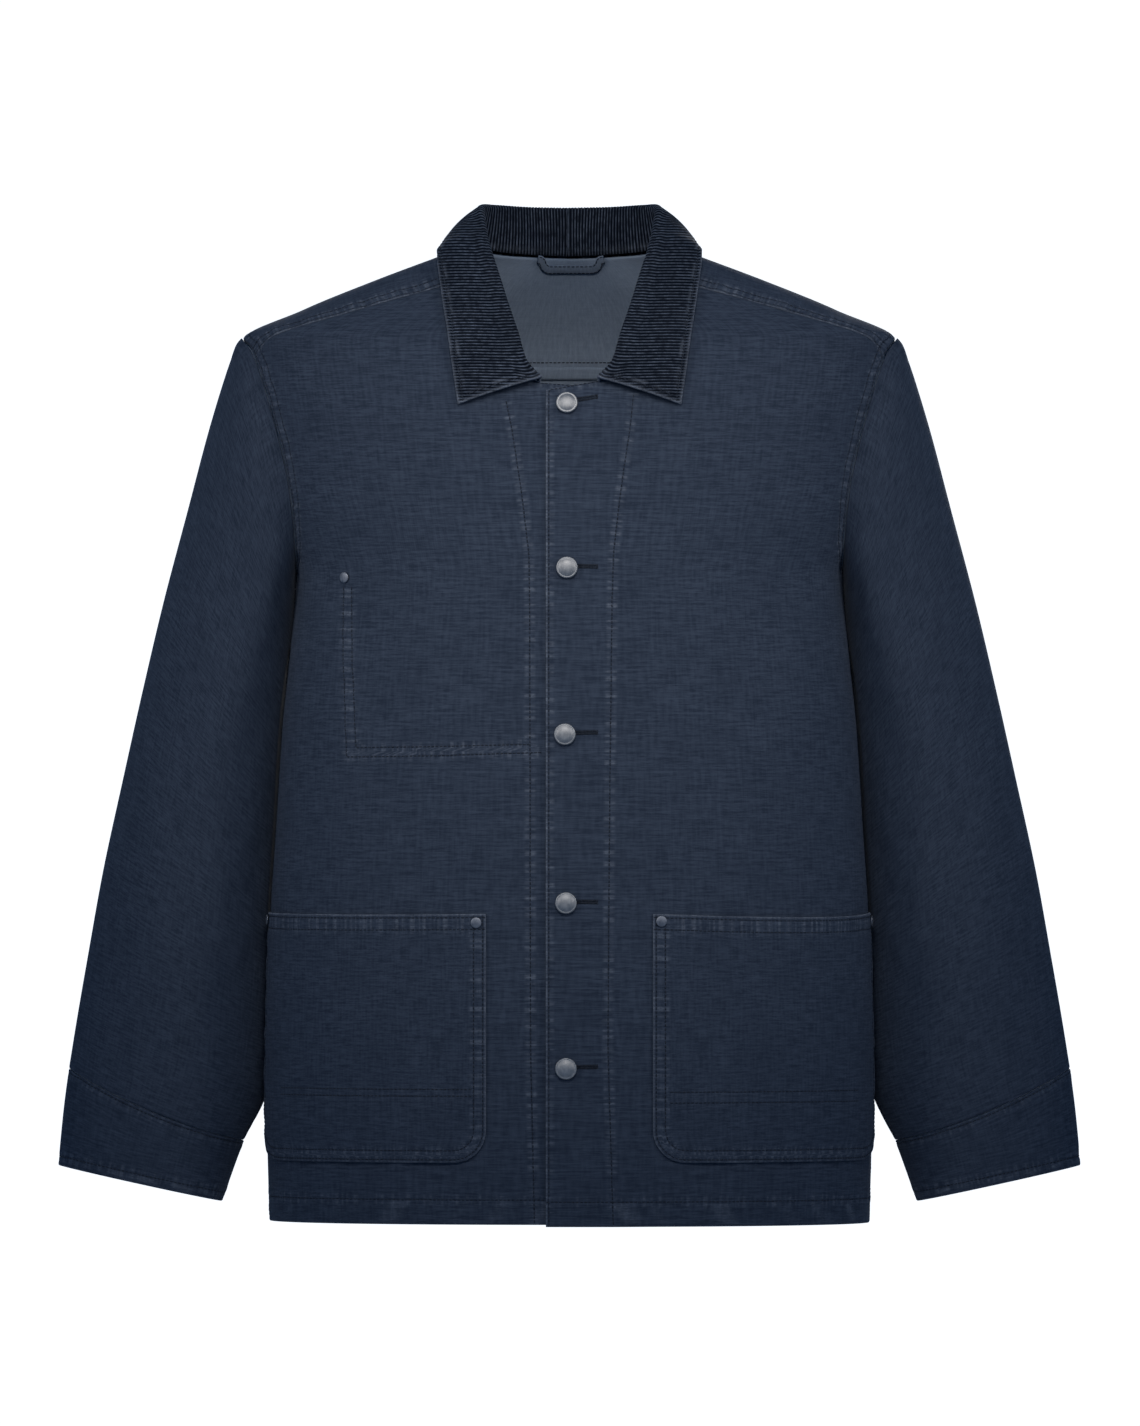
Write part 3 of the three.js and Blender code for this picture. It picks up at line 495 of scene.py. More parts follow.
PUCKER_REACH = 5.5
PUCKER_PITCH = 8.5
FINE_PUCKER, FINE_PITCH, FINE_SEED = 0.6, 4.1, 50
GROOVE_REACH = 1.1
ROW_STEP = 8
ROW_SHIFT = 40
PAIR_GAP = 10
OUTSIDE_WORN = 0.3


# Height that the rows of stitches give a grid of points, and where each point lies beside
# the nearest row: its distance, its place along the row and how worn the row is.
def row_relief(points, rows):
    height = np.zeros(points.shape[:-1])
    row_gap = np.full(points.shape[:-1], FAR)
    second_gap = np.full(points.shape[:-1], FAR)
    row_place = np.zeros(points.shape[:-1])
    row_worn = np.zeros(points.shape[:-1])
    for row in rows:
        distance, place = nearest_on(points, resample(row.line, ROW_STEP), 3 * PUCKER_REACH)
        wave = wander(place / PUCKER_PITCH, row.seed)
        wave = wave + FINE_PUCKER * wander(place / FINE_PITCH, row.seed + FINE_SEED)
        height -= row.groove * bell(distance, GROOVE_REACH)
        height += row.pucker * wave * bell(distance, PUCKER_REACH)
        second_gap = np.minimum(second_gap, np.maximum(distance, row_gap))
        nearer = distance < row_gap
        row_gap = np.where(nearer, distance, row_gap)
        row_place = np.where(nearer, place + ROW_SHIFT * row.seed, row_place)
        row_worn = np.where(nearer, row.worn, row_worn)
    between = row_gap + second_gap < PAIR_GAP
    lone = second_gap > 2 * PAIR_GAP
    row_worn = row_worn * np.where(between | lone, 1, OUTSIDE_WORN)
    return height, {"row_gap": row_gap, "row_place": row_place, "row_worn": row_worn}


def grid_normals(grid):
    return unit(np.cross(np.gradient(grid, axis=0), np.gradient(grid, axis=1)))


# What each vertex holds beside its place, and its value where a piece doesn't give one.
VERTEX_VALUES = {
    "across": 0.0, "along": 0.0, "wear": 0.0, "inside": 0.0, "ridge": 0.0,
    "edge_gap": FAR, "row_gap": FAR, "row_place": 0.0, "row_worn": 0.0,
}
SHADED_VALUES = ("wear", "inside", "ridge", "edge_gap", "row_gap", "row_place", "row_worn")


class Cloth:
    """Vertices and faces of one piece, gathered before its mesh is made."""

    def __init__(self):
        self.points = []
        self.faces = []
        self.values = {name: [] for name in VERTEX_VALUES}
        self.count = 0

    def add(self, points, **values):
        points = np.asarray(points, float).reshape(-1, 3)
        self.points.append(points)
        for name, column in self.values.items():
            value = values.get(name, VERTEX_VALUES[name])
            column.append(np.broadcast_to(np.ravel(value), len(points)))
        first = self.count
        self.count += len(points)
        return first

    def quads(self, corners):
        self.faces.extend(np.stack([np.ravel(c) for c in corners], -1).tolist())


def closed_rings(index):
    return np.concatenate([index, index[:, :1]], axis=1)


# Every so many places of a count, with the last one where the grid isn't a tube.
def picks(count, stride, tube):
    picked = list(range(0, count, stride))
    if not tube and picked[-1] != count - 1:
        picked.append(count - 1)
    return np.array(picked)


# Joins a fine border of the outer face to the coarser border of the inner face.
def join_borders(cloth, outer_index, inner_index, picked, closed):
    pairs = list(zip(range(len(picked) - 1), range(1, len(picked))))
    if closed:
        pairs.append((len(picked) - 1, 0))
    total = len(outer_index)
    for a, b in pairs:
        start = picked[a]
        end = picked[b] if b > a else total
        half = (start + end) // 2
        for k in range(start, end):
            near = inner_index[a] if k < half else inner_index[b]
            cloth.faces.append([outer_index[k % total], outer_index[(k + 1) % total], near])
        cloth.faces.append([inner_index[a], outer_index[half % total], inner_index[b]])


# Thin shell between an outer grid and a coarser inner one, closed at its borders.
def shell(cloth, outer, inner, tube, stride=3, **values):
    rows, cols = outer.shape[:2]
    first = cloth.add(outer, **values)
    index = first + np.arange(rows * cols).reshape(rows, cols)
    across = closed_rings(index) if tube else index
    cloth.quads([across[:-1, :-1], across[:-1, 1:], across[1:, 1:], across[1:, :-1]])

    row_picks = picks(rows, stride, False)
    col_picks = picks(cols, stride, tube)
    pick = np.ix_(row_picks, col_picks)
    inner_values = {name: np.broadcast_to(value, (rows, cols))[pick] for name, value in values.items()}
    # The inner face takes the full painted light of the inside.
    inner_values["inside"] = 1.0
    inner_values["wear"] = 0.0
    inner_first = cloth.add(inner[pick], **inner_values)
    inner_shape = (len(row_picks), len(col_picks))
    inner_index = inner_first + np.arange(np.prod(inner_shape)).reshape(inner_shape)
    wrapped = closed_rings(inner_index) if tube else inner_index
    cloth.quads([wrapped[:-1, :-1], wrapped[1:, :-1], wrapped[1:, 1:], wrapped[:-1, 1:]])

    for r in (0, -1):
        join_borders(cloth, index[r], inner_index[r], col_picks, tube)
    if not tube:
        for c in (0, -1):
            join_borders(cloth, index[:, c], inner_index[:, c], row_picks, False)


def finished_mesh(name, cloth, material):
    points = np.concatenate(cloth.points) * MM
    mesh = bpy.data.meshes.new(name)
    mesh.from_pydata(points.tolist(), [], cloth.faces)
    mesh.update()
    for column in SHADED_VALUES:
        layer = mesh.attributes.new(column, "FLOAT", "POINT")
        layer.data.foreach_set("value", np.concatenate(cloth.values[column]).astype(np.float32))
    corners = np.empty(len(mesh.loops), int)
    mesh.loops.foreach_get("vertex_index", corners)
    across = np.concatenate(cloth.values["across"])[corners] * MM
    along = np.concatenate(cloth.values["along"])[corners] * MM
    starts = np.empty(len(mesh.polygons), int)
    mesh.polygons.foreach_get("loop_start", starts)
    width = across.max() - across.min()
    highest = np.repeat(np.maximum.reduceat(across, starts), np.diff([*starts, len(corners)]))
    across = np.where(highest - across > width / 2, across + width, across)
    layer = mesh.uv_layers.new(name="cloth")
    layer.data.foreach_set("uv", np.stack([across, along], -1).ravel().astype(np.float32))
    mesh.shade_smooth()
    mesh.materials.append(material)
    piece = bpy.data.objects.new(name, mesh)
    bpy.context.scene.collection.objects.link(piece)
    turn_faces_out(mesh)
    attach(piece, "root")
    return piece


def turn_faces_out(mesh):
    shape = bmesh.new()
    shape.from_mesh(mesh)
    bmesh.ops.recalc_face_normals(shape, faces=shape.faces)
    shape.to_mesh(mesh)
    shape.free()


# Threads

THREAD_RADIUS = 0.42
STITCH_LENGTH = 2.5
STITCH_PITCH = 3.1
THREAD_RINGS = ((-0.5, 0.35), (-0.3, 1.0), (0.3, 1.0), (0.5, 0.35))
THREAD_SIDES = 4
THREAD_SEAT = 0.15
THREAD_DIVE = 1.6
threads = Cloth()


# Adds short threads at points of the cloth, each along its own direction.
def add_threads(points, directions, normals, length=STITCH_LENGTH, radius=THREAD_RADIUS):
    sideways = unit(np.cross(directions, normals))
    count = len(THREAD_RINGS)
    rings = []
    for place, swell in THREAD_RINGS:
        dip = radius * (THREAD_SEAT - THREAD_DIVE * max(abs(place) - THREAD_RINGS[2][0], 0))
        centre = points + directions * length * place + normals * dip
        for k in range(THREAD_SIDES):
            turn = 2 * math.pi * k / THREAD_SIDES
            reach = sideways * math.cos(turn) + normals * math.sin(turn)
            rings.append(centre + reach * radius * swell)
    stack = np.stack(rings, axis=1)
    first = threads.add(stack)
    per_thread = count * THREAD_SIDES
    base = first + per_thread * np.arange(len(points))
    for ring in range(count - 1):
        for k in range(THREAD_SIDES):
            a = ring * THREAD_SIDES + k
            b = ring * THREAD_SIDES + (k + 1) % THREAD_SIDES
            threads.quads([base + a, base + b, base + b + THREAD_SIDES, base + a + THREAD_SIDES])
    for cap in (list(range(THREAD_SIDES))[::-1], list(range(per_thread - THREAD_SIDES, per_thread))):
        threads.faces.extend((base[:, None] + np.array(cap)).tolist())


trees = {}


# Sews a row of stitches onto the finished face of a piece.
def sew(piece, line):
    if piece.name not in trees:
        vertices = [v.co for v in piece.data.vertices]
        trees[piece.name] = BVHTree.FromPolygons(vertices, [p.vertices for p in piece.data.polygons])
    tree = trees[piece.name]
    points = resample(np.asarray(line, float), STITCH_PITCH)
    places, normals = [], []
    for point in points:
        place, normal, _, _ = tree.find_nearest(Vector(point * MM))
        places.append(np.array(place) / MM)
        normals.append(np.array(normal))
    places, normals = np.array(places), np.array(normals)
    directions = places[1:] - places[:-1]
    middles = (places[1:] + places[:-1]) / 2
    facing = unit(normals[1:] + normals[:-1])
    directions = unit(directions - facing * dot(directions, facing))
    add_threads(middles, directions, facing)


# Materials

def new_material(name):
    material = bpy.data.materials.new(name)
    material.use_nodes = True
    nodes = material.node_tree.nodes
    nodes.clear()
    output = nodes.new("ShaderNodeOutputMaterial")
    shader = nodes.new("ShaderNodeBsdfPrincipled")
    material.node_tree.links.new(shader.outputs["BSDF"], output.inputs["Surface"])
    return material, shader


class Graph:
    """Short calls for building a material's nodes."""

    def __init__(self, material):
        self.nodes = material.node_tree.nodes
        self.links = material.node_tree.links

    def node(self, kind, inputs=(), **settings):
        node = self.nodes.new(kind)
        for key, value in settings.items():
            setattr(node, key, value)
        for key, value in dict(inputs).items():
            if isinstance(value, bpy.types.NodeSocket):
                self.links.new(value, node.inputs[key])
            else:
                node.inputs[key].default_value = value
        return node

    def math(self, operation, a, b=0.0, clamp=False):
        return self.node("ShaderNodeMath", {0: a, 1: b}, operation=operation, use_clamp=clamp).outputs[0]

    def product(self, a, b, clamp=False):
        return self.math("MULTIPLY", a, b, clamp)

    # Sum of values, each times its weight.
    def blend(self, *weighted):
        total = None
        for value, weight in weighted:
            term = value if weight == 1 else self.product(value, weight)
            total = term if total is None else self.math("ADD", total, term)
        return total

    def mix(self, factor, a, b, blend="MIX"):
        node = self.node("ShaderNodeMix", {"Factor": factor}, data_type="RGBA", blend_type=blend)
        for socket, value in ((node.inputs[6], a), (node.inputs[7], b)):
            if isinstance(value, bpy.types.NodeSocket):
                self.links.new(value, socket)
            else:
                socket.default_value = value
        return node.outputs[2]

    def attribute(self, name):
        return self.node("ShaderNodeAttribute", attribute_name=name).outputs["Fac"]

    # Noise with so many cells for each unit of the vector: a metre, or a millimetre along a row.
    def noise(self, vector, cells, detail=2.0):
        mapped = self.node("ShaderNodeMapping", {"Vector": vector, "Scale": cells})
        inputs = {"Vector": mapped.outputs[0], "Scale": 1, "Detail": detail}
        return self.node("ShaderNodeTexNoise", inputs).outputs["Fac"]

    def curve(self, value, low, high, out_low, out_high):
        inputs = {"Value": value, "From Min": low, "From Max": high, "To Min": out_low, "To Max": out_high}
        return self.node("ShaderNodeMapRange", inputs).outputs[0]

    def waves(self, coordinate, pitch):
        return self.math("SINE", self.product(coordinate, 2 * math.pi / pitch))

    def object_place(self):
        return self.node("ShaderNodeTexCoord").outputs["Object"]

    def bump(self, shader, height, strength, distance):
        inputs = {"Strength": strength, "Distance": distance, "Height": height}
        self.links.new(self.node("ShaderNodeBump", inputs).outputs[0], shader.inputs["Normal"])


SHEEN_TINT = (0.6, 0.7, 0.9, 1)
SHEEN_ROUGHNESS = 0.4


def set_cloth_gloss(shader, roughness, specular, sheen):
    shader.inputs["Roughness"].default_value = roughness
    shader.inputs["Specular IOR Level"].default_value = specular
    shader.inputs["Sheen Weight"].default_value = sheen
    shader.inputs["Sheen Roughness"].default_value = SHEEN_ROUGHNESS
    shader.inputs["Sheen Tint"].default_value = SHEEN_TINT


CANVAS_COLOUR = (0.05, 0.067, 0.102, 1)
SHADE_COLOUR = (0.02, 0.03, 0.052, 1)
WORN_COLOUR = (0.17, 0.195, 0.245, 1)
# Pale colour that inner faces are lightened towards: painted light for the light that doesn't reach inside
# the jacket, as the cloth is the same twill inside.
PAINTED_INSIDE_LIGHT = (0.29, 0.36, 0.47, 1)
WARP_PITCH, WEFT_PITCH = 0.0011, 0.0009


def canvas_material():
    material, shader = new_material("navy_canvas")
    graph = Graph(material)
    coordinates = graph.node("ShaderNodeUVMap", uv_map="cloth").outputs[0]
    split = graph.node("ShaderNodeSeparateXYZ", {0: coordinates})
    weft = graph.noise(coordinates, (70, 640, 1), 2)
    fine_weft = graph.noise(coordinates, (300, 1500, 1), 1)
    warp = graph.noise(coordinates, (620, 50, 1), 2)
    mottle = graph.noise(coordinates, (30, 36, 1), 4)
    specks = graph.noise(coordinates, (700, 900, 1), 2)

    tone = graph.blend((weft, 0.45), (fine_weft, 0.3), (warp, 0.25))
    colour = graph.mix(graph.curve(tone, 0.4, 0.6, 0, 1), SHADE_COLOUR, CANVAS_COLOUR)
    colour = graph.mix(graph.curve(mottle, 0.3, 0.7, 0.3, 0), colour, SHADE_COLOUR)
    # Inner faces are lightened towards a pale colour: painted light on the inside.
    inside = graph.product(graph.attribute("inside"), graph.curve(tone, 0.3, 0.7, 0.6, 0.95))
    colour = graph.mix(inside, colour, PAINTED_INSIDE_LIGHT)

    # Pale dashes across the puckers beside each row of stitches, and a pale line on turned edges.
    place = graph.node("ShaderNodeCombineXYZ", {0: graph.attribute("row_place")}).outputs[0]
    dashes = graph.curve(graph.noise(place, (0.24, 1, 1), 1), 0.47, 0.62, 0, 1)
    gap = graph.attribute("row_gap")
    reach = graph.product(graph.curve(gap, 0.3, 1.3, 0, 1), graph.curve(gap, 2.8, 5, 1, 0))
    dashes = graph.product(graph.product(dashes, reach), graph.attribute("row_worn"))
    edge = graph.curve(graph.attribute("edge_gap"), 0.4, 1.7, 0.85, 0)
    edge = graph.product(edge, graph.curve(mottle, 0.35, 0.6, 0.45, 1))
    wear = graph.blend((graph.attribute("wear"), 1), (edge, 1), (dashes, 1))
    wear = graph.product(wear, graph.curve(specks, 0.3, 0.7, 0.4, 1.1))
    wear = graph.product(wear, graph.curve(tone, 0.4, 0.6, 0.5, 1.1), True)
    colour = graph.mix(wear, colour, WORN_COLOUR)
    graph.links.new(colour, shader.inputs["Base Color"])

    warp_waves = graph.waves(split.outputs[0], WARP_PITCH)
    weft_waves = graph.waves(split.outputs[1], WEFT_PITCH)
    graph.bump(shader, graph.blend((warp_waves, 0.12), (weft_waves, 0.12), (tone, 1.2)), 0.4, 0.0006)
    set_cloth_gloss(shader, roughness=0.88, specular=0.2, sheen=0.05)
    return material


# Colour of the wale tops, and a near-black colour for the valleys between the wales that is painted shade in
# the grooves.
WALE_RIDGE = (0.125, 0.155, 0.215, 1)
WALE_VALLEY_SHADE = (0.002, 0.004, 0.009, 1)


def corduroy_material():
    material, shader = new_material("navy_corduroy")
    graph = Graph(material)
    coordinates = graph.node("ShaderNodeUVMap", uv_map="cloth").outputs[0]
    pile = graph.noise(coordinates, (900, 900, 1), 3)
    rubbed = graph.noise(coordinates, (230, 230, 1), 2)
    patches = graph.noise(coordinates, (30, 30, 1), 3)
    ridge = graph.curve(graph.attribute("ridge"), 0.76, 1.0, 0, 1)
    tone = graph.product(ridge, graph.curve(pile, 0.3, 0.7, 0.7, 1.1), True)
    tone = graph.product(tone, graph.curve(rubbed, 0.32, 0.66, 0.25, 1.15), True)
    tone = graph.product(tone, graph.curve(patches, 0.3, 0.7, 0.6, 1.0), True)
    # Colour runs from painted shade in the valleys to the wale tops, which are rubbed paler in patches.
    colour = graph.mix(tone, WALE_VALLEY_SHADE, WALE_RIDGE)
    wear = graph.product(graph.attribute("wear"), graph.curve(pile, 0.35, 0.65, 0.4, 1.1), True)
    colour = graph.mix(wear, colour, WORN_COLOUR)
    graph.links.new(colour, shader.inputs["Base Color"])
    graph.bump(shader, pile, 0.5, 0.0005)
    set_cloth_gloss(shader, roughness=0.95, specular=0.12, sheen=0.08)
    return material


THREAD_DARK = (0.006, 0.009, 0.017, 1)
THREAD_LIGHT = (0.02, 0.028, 0.045, 1)


def thread_material():
    material, shader = new_material("navy_thread")
    graph = Graph(material)
    twist = graph.noise(graph.object_place(), (900, 900, 900), 2)
    colour = graph.mix(graph.curve(twist, 0.3, 0.7, 0, 1), THREAD_DARK, THREAD_LIGHT)
    graph.links.new(colour, shader.inputs["Base Color"])
    shader.inputs["Roughness"].default_value = 0.7
    shader.inputs["Specular IOR Level"].default_value = 0.3
    return material


def metal_material(name, dark, light, roughness, scratches):
    material, shader = new_material(name)
    graph = Graph(material)
    place = graph.object_place()
    brushed = graph.noise(place, (2600, 400, 260), 3)
    tarnish = graph.noise(place, (320, 320, 320), 4)
    tone = graph.blend((brushed, 0.45), (tarnish, 0.55))
    colour = graph.mix(graph.curve(tone, 0.35, 0.65, 0, 1), dark, light)
    # Convex rims take the lighter colour all round: a painted highlight on the rims.
    edge = graph.node("ShaderNodeNewGeometry").outputs["Pointiness"]
    colour = graph.mix(graph.curve(edge, 0.5, 0.56, 0, 0.5), colour, light)
    graph.links.new(colour, shader.inputs["Base Color"])
    gloss = graph.curve(tone, 0.3, 0.7, roughness - 0.06, roughness + 0.1)
    graph.links.new(gloss, shader.inputs["Roughness"])
    graph.bump(shader, brushed, scratches, 0.0002)
    shader.inputs["Metallic"].default_value = 0.9
    return material


BUTTON_DARK, BUTTON_LIGHT = (0.24, 0.245, 0.26, 1), (0.38, 0.39, 0.41, 1)
RIVET_DARK, RIVET_LIGHT = (0.15, 0.165, 0.2, 1), (0.27, 0.29, 0.34, 1)
canvas = canvas_material()
corduroy = corduroy_material()
thread = thread_material()
button_metal = metal_material("button_metal", BUTTON_DARK, BUTTON_LIGHT, 0.52, 0.08)
rivet_metal = metal_material("rivet_metal", RIVET_DARK, RIVET_LIGHT, 0.5, 0.1)


# Cloth pieces

ALLOWANCE_HALF = 5
ALLOWANCE_COLS = 5
ALLOWANCE_DEPTHS = (CANVAS + 0.5, CANVAS + 1.4)


# Outer and inner face of a seam allowance: a strip behind a line of the outer face, under
# the panels on both sides of the seam.
def allowance(line, facing):
    run = unit(np.gradient(line, axis=0))
    sideways = unit(np.cross(facing, run))
    spread = np.linspace(-ALLOWANCE_HALF, ALLOWANCE_HALF, ALLOWANCE_COLS)
    middle = line[:, None] + sideways[:, None] * spread[None, :, None]
    return [middle - facing[:, None] * depth for depth in ALLOWANCE_DEPTHS]


EDGE_SOFT = 0.9
EDGE_DROP = 0.5
ALL_EDGES = ((0, False), (0, True), (1, False), (1, True))
ROPE_PITCH = 9
ROPE_SLANT = 0.6
ROPE_HEIGHT = 0.35
ROPE_WEAR = 0.4
ROPE_FROM_EDGE, ROPE_TO_ROW = 4, 3


# Slanting swells of a turned hem between its edge and its row of stitches, from -1 to 1.
def roping(base, from_end, width, seed):
    distance = border_distance(base, 0, from_end)
    place = border_distance(base, 1, False)
    wave = wander((place + ROPE_SLANT * distance) / ROPE_PITCH, seed)
    return wave * smooth(distance / ROPE_FROM_EDGE) * smooth((width - distance) / ROPE_TO_ROW)


# Makes one piece of canvas from its base grid, its rows of stitches, its worn borders with
# how faint each is, its roped hems and the strips of seam allowance behind it.
def sew_piece(name, base, normals, rows, worn=(), cloth_wall=CANVAS, tube=False,
              material=canvas, stride=3, extra_height=0.0, wear=0.0, ridge=0.0, inside=0.0,
              strips=(), lay=None, roped=()):
    height, beside_rows = row_relief(base, rows)
    edge_gap = np.full(base.shape[:2], FAR)
    for axis, from_end in ALL_EDGES[:2] if tube else ALL_EDGES:
        distance = border_distance(base, axis, from_end)
        height -= EDGE_DROP * np.clip(1 - distance / EDGE_SOFT, 0, 1) ** 2
        if (axis, from_end) in worn:
            edge_gap = np.minimum(edge_gap, distance + worn[axis, from_end])
    for from_end, width, seed in roped:
        swell = roping(base, from_end, width, seed)
        height = height + ROPE_HEIGHT * swell
        wear = wear + ROPE_WEAR * np.maximum(swell, 0)
    height = height + extra_height
    outer = base + normals * height[..., None]
    inner = base - normals * cloth_wall
    across = np.mean(border_distance(base, 1, False), axis=0, keepdims=True)
    along = np.mean(border_distance(base, 0, False), axis=1, keepdims=True)
    if lay:
        across, along = lay
    cloth = Cloth()
    values = {"across": across, "along": along, "wear": wear, "ridge": ridge}
    values = {key: np.broadcast_to(value, base.shape[:2]) for key, value in values.items()}
    shell(cloth, outer, inner, tube, stride, edge_gap=edge_gap, inside=inside, **values, **beside_rows)
    for top, bottom in strips:
        spread = border_distance(top, 1, False)
        length = border_distance(top, 0, False)
        # Seam allowance strips take the full painted light of the inside.
        shell(cloth, top, bottom, False, 1, across=spread, along=length, inside=1.0)
    piece = finished_mesh(name, cloth, material)
    for row in rows:
        sew(piece, row.line)
    return piece


# Fronts

FACING_STITCH = np.array([
    (47.5, -105), (45.2, -128), (38.1, -175), (32.6, -221.6), (31.5, -255.6), (29.6, -420),
    (28.4, -591), (32.4, LAPPED_HEM_Z + 1),
])
UNDERLAP_STITCH = np.array([
    (47.2, -109), (42.8, -130), (35.6, -177.5), (30.2, -222.6), (29.6, -255.6), (29.2, -420),
    (28.9, -592), (26, HEM_Z + 1),
])


PANEL_STEP = 4


# Line on a panel through places given as distance from the centre plane and level.
def panel_line(places, side, lapped):
    line = resample(np.insert(np.asarray(places, float), 1, 0, axis=1), PANEL_STEP)
    x, z = line[:, 0], line[:, 2]
    angle = torso_angle(x, z, False) * np.where(x < 0, -1, 1)
    return on_torso(side, angle, z, np.zeros_like(x), lapped)


FRONT_ROWS = 210
FRONT_COLS = 129
CENTRE_ROWS, CORNER_ROWS, NECK_ROWS = 66, 3, 44
CENTRE_SHARE, CORNER_SHARE, NECK_SHARE = 6, 1, 6


def front_grid(lapped):
    edge_x = PLACKET_EDGE_X if lapped else UNDERLAP_X
    hem_z = LAPPED_HEM_Z if lapped else HEM_Z
    below = steps(FRONT_ROWS, 0.5)[:-1]
    inner_z = lerp(hem_z, ARMPIT_Z, below)
    outer_z = inner_z.copy()
    bow = np.zeros_like(below)
    inner_angle = -torso_angle(edge_x, inner_z, False)
    centre_t = steps(CENTRE_ROWS)
    centre_z = lerp(ARMPIT_Z, LAPPED_TOP_Z if lapped else PLACKET_TOP_Z, centre_t)
    centre_angle = -torso_angle(edge_x, centre_z, False)
    neck_t = lerp(1, YOKE_NECK_T, steps(NECK_ROWS))
    _, _, neck_angle, neck_z = neck_seam(neck_t)
    corner_t = steps(CORNER_ROWS)[1:-1]
    corner_angle = lerp(centre_angle[-1], neck_angle[0], corner_t)
    corner_z = lerp(centre_z[-1], neck_z[0] - SEAM_GAP, corner_t)
    upper_angle = np.concatenate([centre_angle, corner_angle, neck_angle])
    upper_z = np.concatenate([centre_z, corner_z, neck_z - SEAM_GAP])
    corner_start = CENTRE_SHARE + CORNER_SHARE * corner_t
    neck_start = CENTRE_SHARE + CORNER_SHARE + NECK_SHARE * steps(NECK_ROWS)
    place = np.concatenate([centre_t * CENTRE_SHARE, corner_start, neck_start])
    place = place / (CENTRE_SHARE + CORNER_SHARE + NECK_SHARE)
    inner_angle = np.concatenate([inner_angle, upper_angle])[:, None]
    inner_z = np.concatenate([inner_z, upper_z])[:, None]
    outer_z = np.concatenate([outer_z, lerp(ARMPIT_Z, YOKE_ARM_Z, place)])[:, None]
    bow = np.concatenate([bow, YOKE_SEAM_BOW * place ** 2])[:, None]
    side_gap = SEAM_GAP / 2 / front_depth_at(outer_z)
    at_arm = torso_angle(armhole_x_at(outer_z) - SEAM_GAP, outer_z, False)
    at_seam = np.where(outer_z > ARMPIT_Z, at_arm, np.pi / 2 - side_gap ** (OVAL / 2))
    u = steps(FRONT_COLS, 0.5, 0.4)[None, :]
    angle = lerp(inner_angle, at_seam, u)
    z = lerp(inner_z, outer_z, u) + bow * np.sin(np.pi * u)
    angle[-1], z[-1] = yoke_front_seam(u[0], -SEAM_GAP / 2)
    return angle, z


CHEST_POCKET_ROWS = [
    [(169, -247), (167.8, -300), (165.4, -374)],
    [(163, -247), (161.6, -300), (158.6, -367)],
    [(165.4, -374), (100, -373), (20.6, -370.5)],
    [(158.6, -367), (100, -366.2), (28.9, -364.5)],
]
HEM_ROW = 18.5
PLACKET_ROW = 2.2
ARMHOLE_ROWS = (2, 8.5)
ARMHOLE_START_Z = ARMPIT_Z + 2


def make_front(node, side, lapped):
    angle, z = front_grid(lapped)
    zero = np.zeros_like(z)
    base = on_torso(side, angle, z, zero, lapped)
    normals = torso_normal(side, angle, z)
    seed = 11 if lapped else 31
    arm_rows = z[:, -1] > ARMHOLE_START_Z
    arm_part = base[arm_rows]
    stitch = FACING_STITCH if lapped else UNDERLAP_STITCH
    rows = [
        Row(inset_line(base, 1, False, PLACKET_ROW), seed, pucker=0.35, worn=0.45),
        Row(panel_line(stitch, side, lapped), seed + 1, pucker=0.5, worn=0.55),
        Row(inset_line(base, 0, False, HEM_ROW), seed + 2, pucker=0.5, worn=0.3),
    ]
    for inset in ARMHOLE_ROWS:
        rows.append(Row(inset_line(arm_part, 1, True, inset), seed + 3, pucker=0.4, worn=0.5))
    if not lapped:
        for i, places in enumerate(CHEST_POCKET_ROWS):
            rows.append(Row(panel_line(places, side, lapped), seed + 5 + i // 2, pucker=0.4, worn=0.55))
    worn = {(1, False): 0, (0, False): 0.6, (1, True): 0.5}
    piece = sew_piece(node + "_cloth", base, normals, rows, worn=worn, roped=((False, HEM_ROW, seed + 9),),
                      lay=(angle * front_depth_at(HEM_Z), z))
    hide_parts(node)


make_front("front_right", -1, False)
make_front("front_left", 1, True)


# Back and yoke

BACK_ROWS_BELOW, BACK_ROWS_ABOVE, BACK_COLS = 132, 48, 162
SIDE_SEAM_POINTS = 60


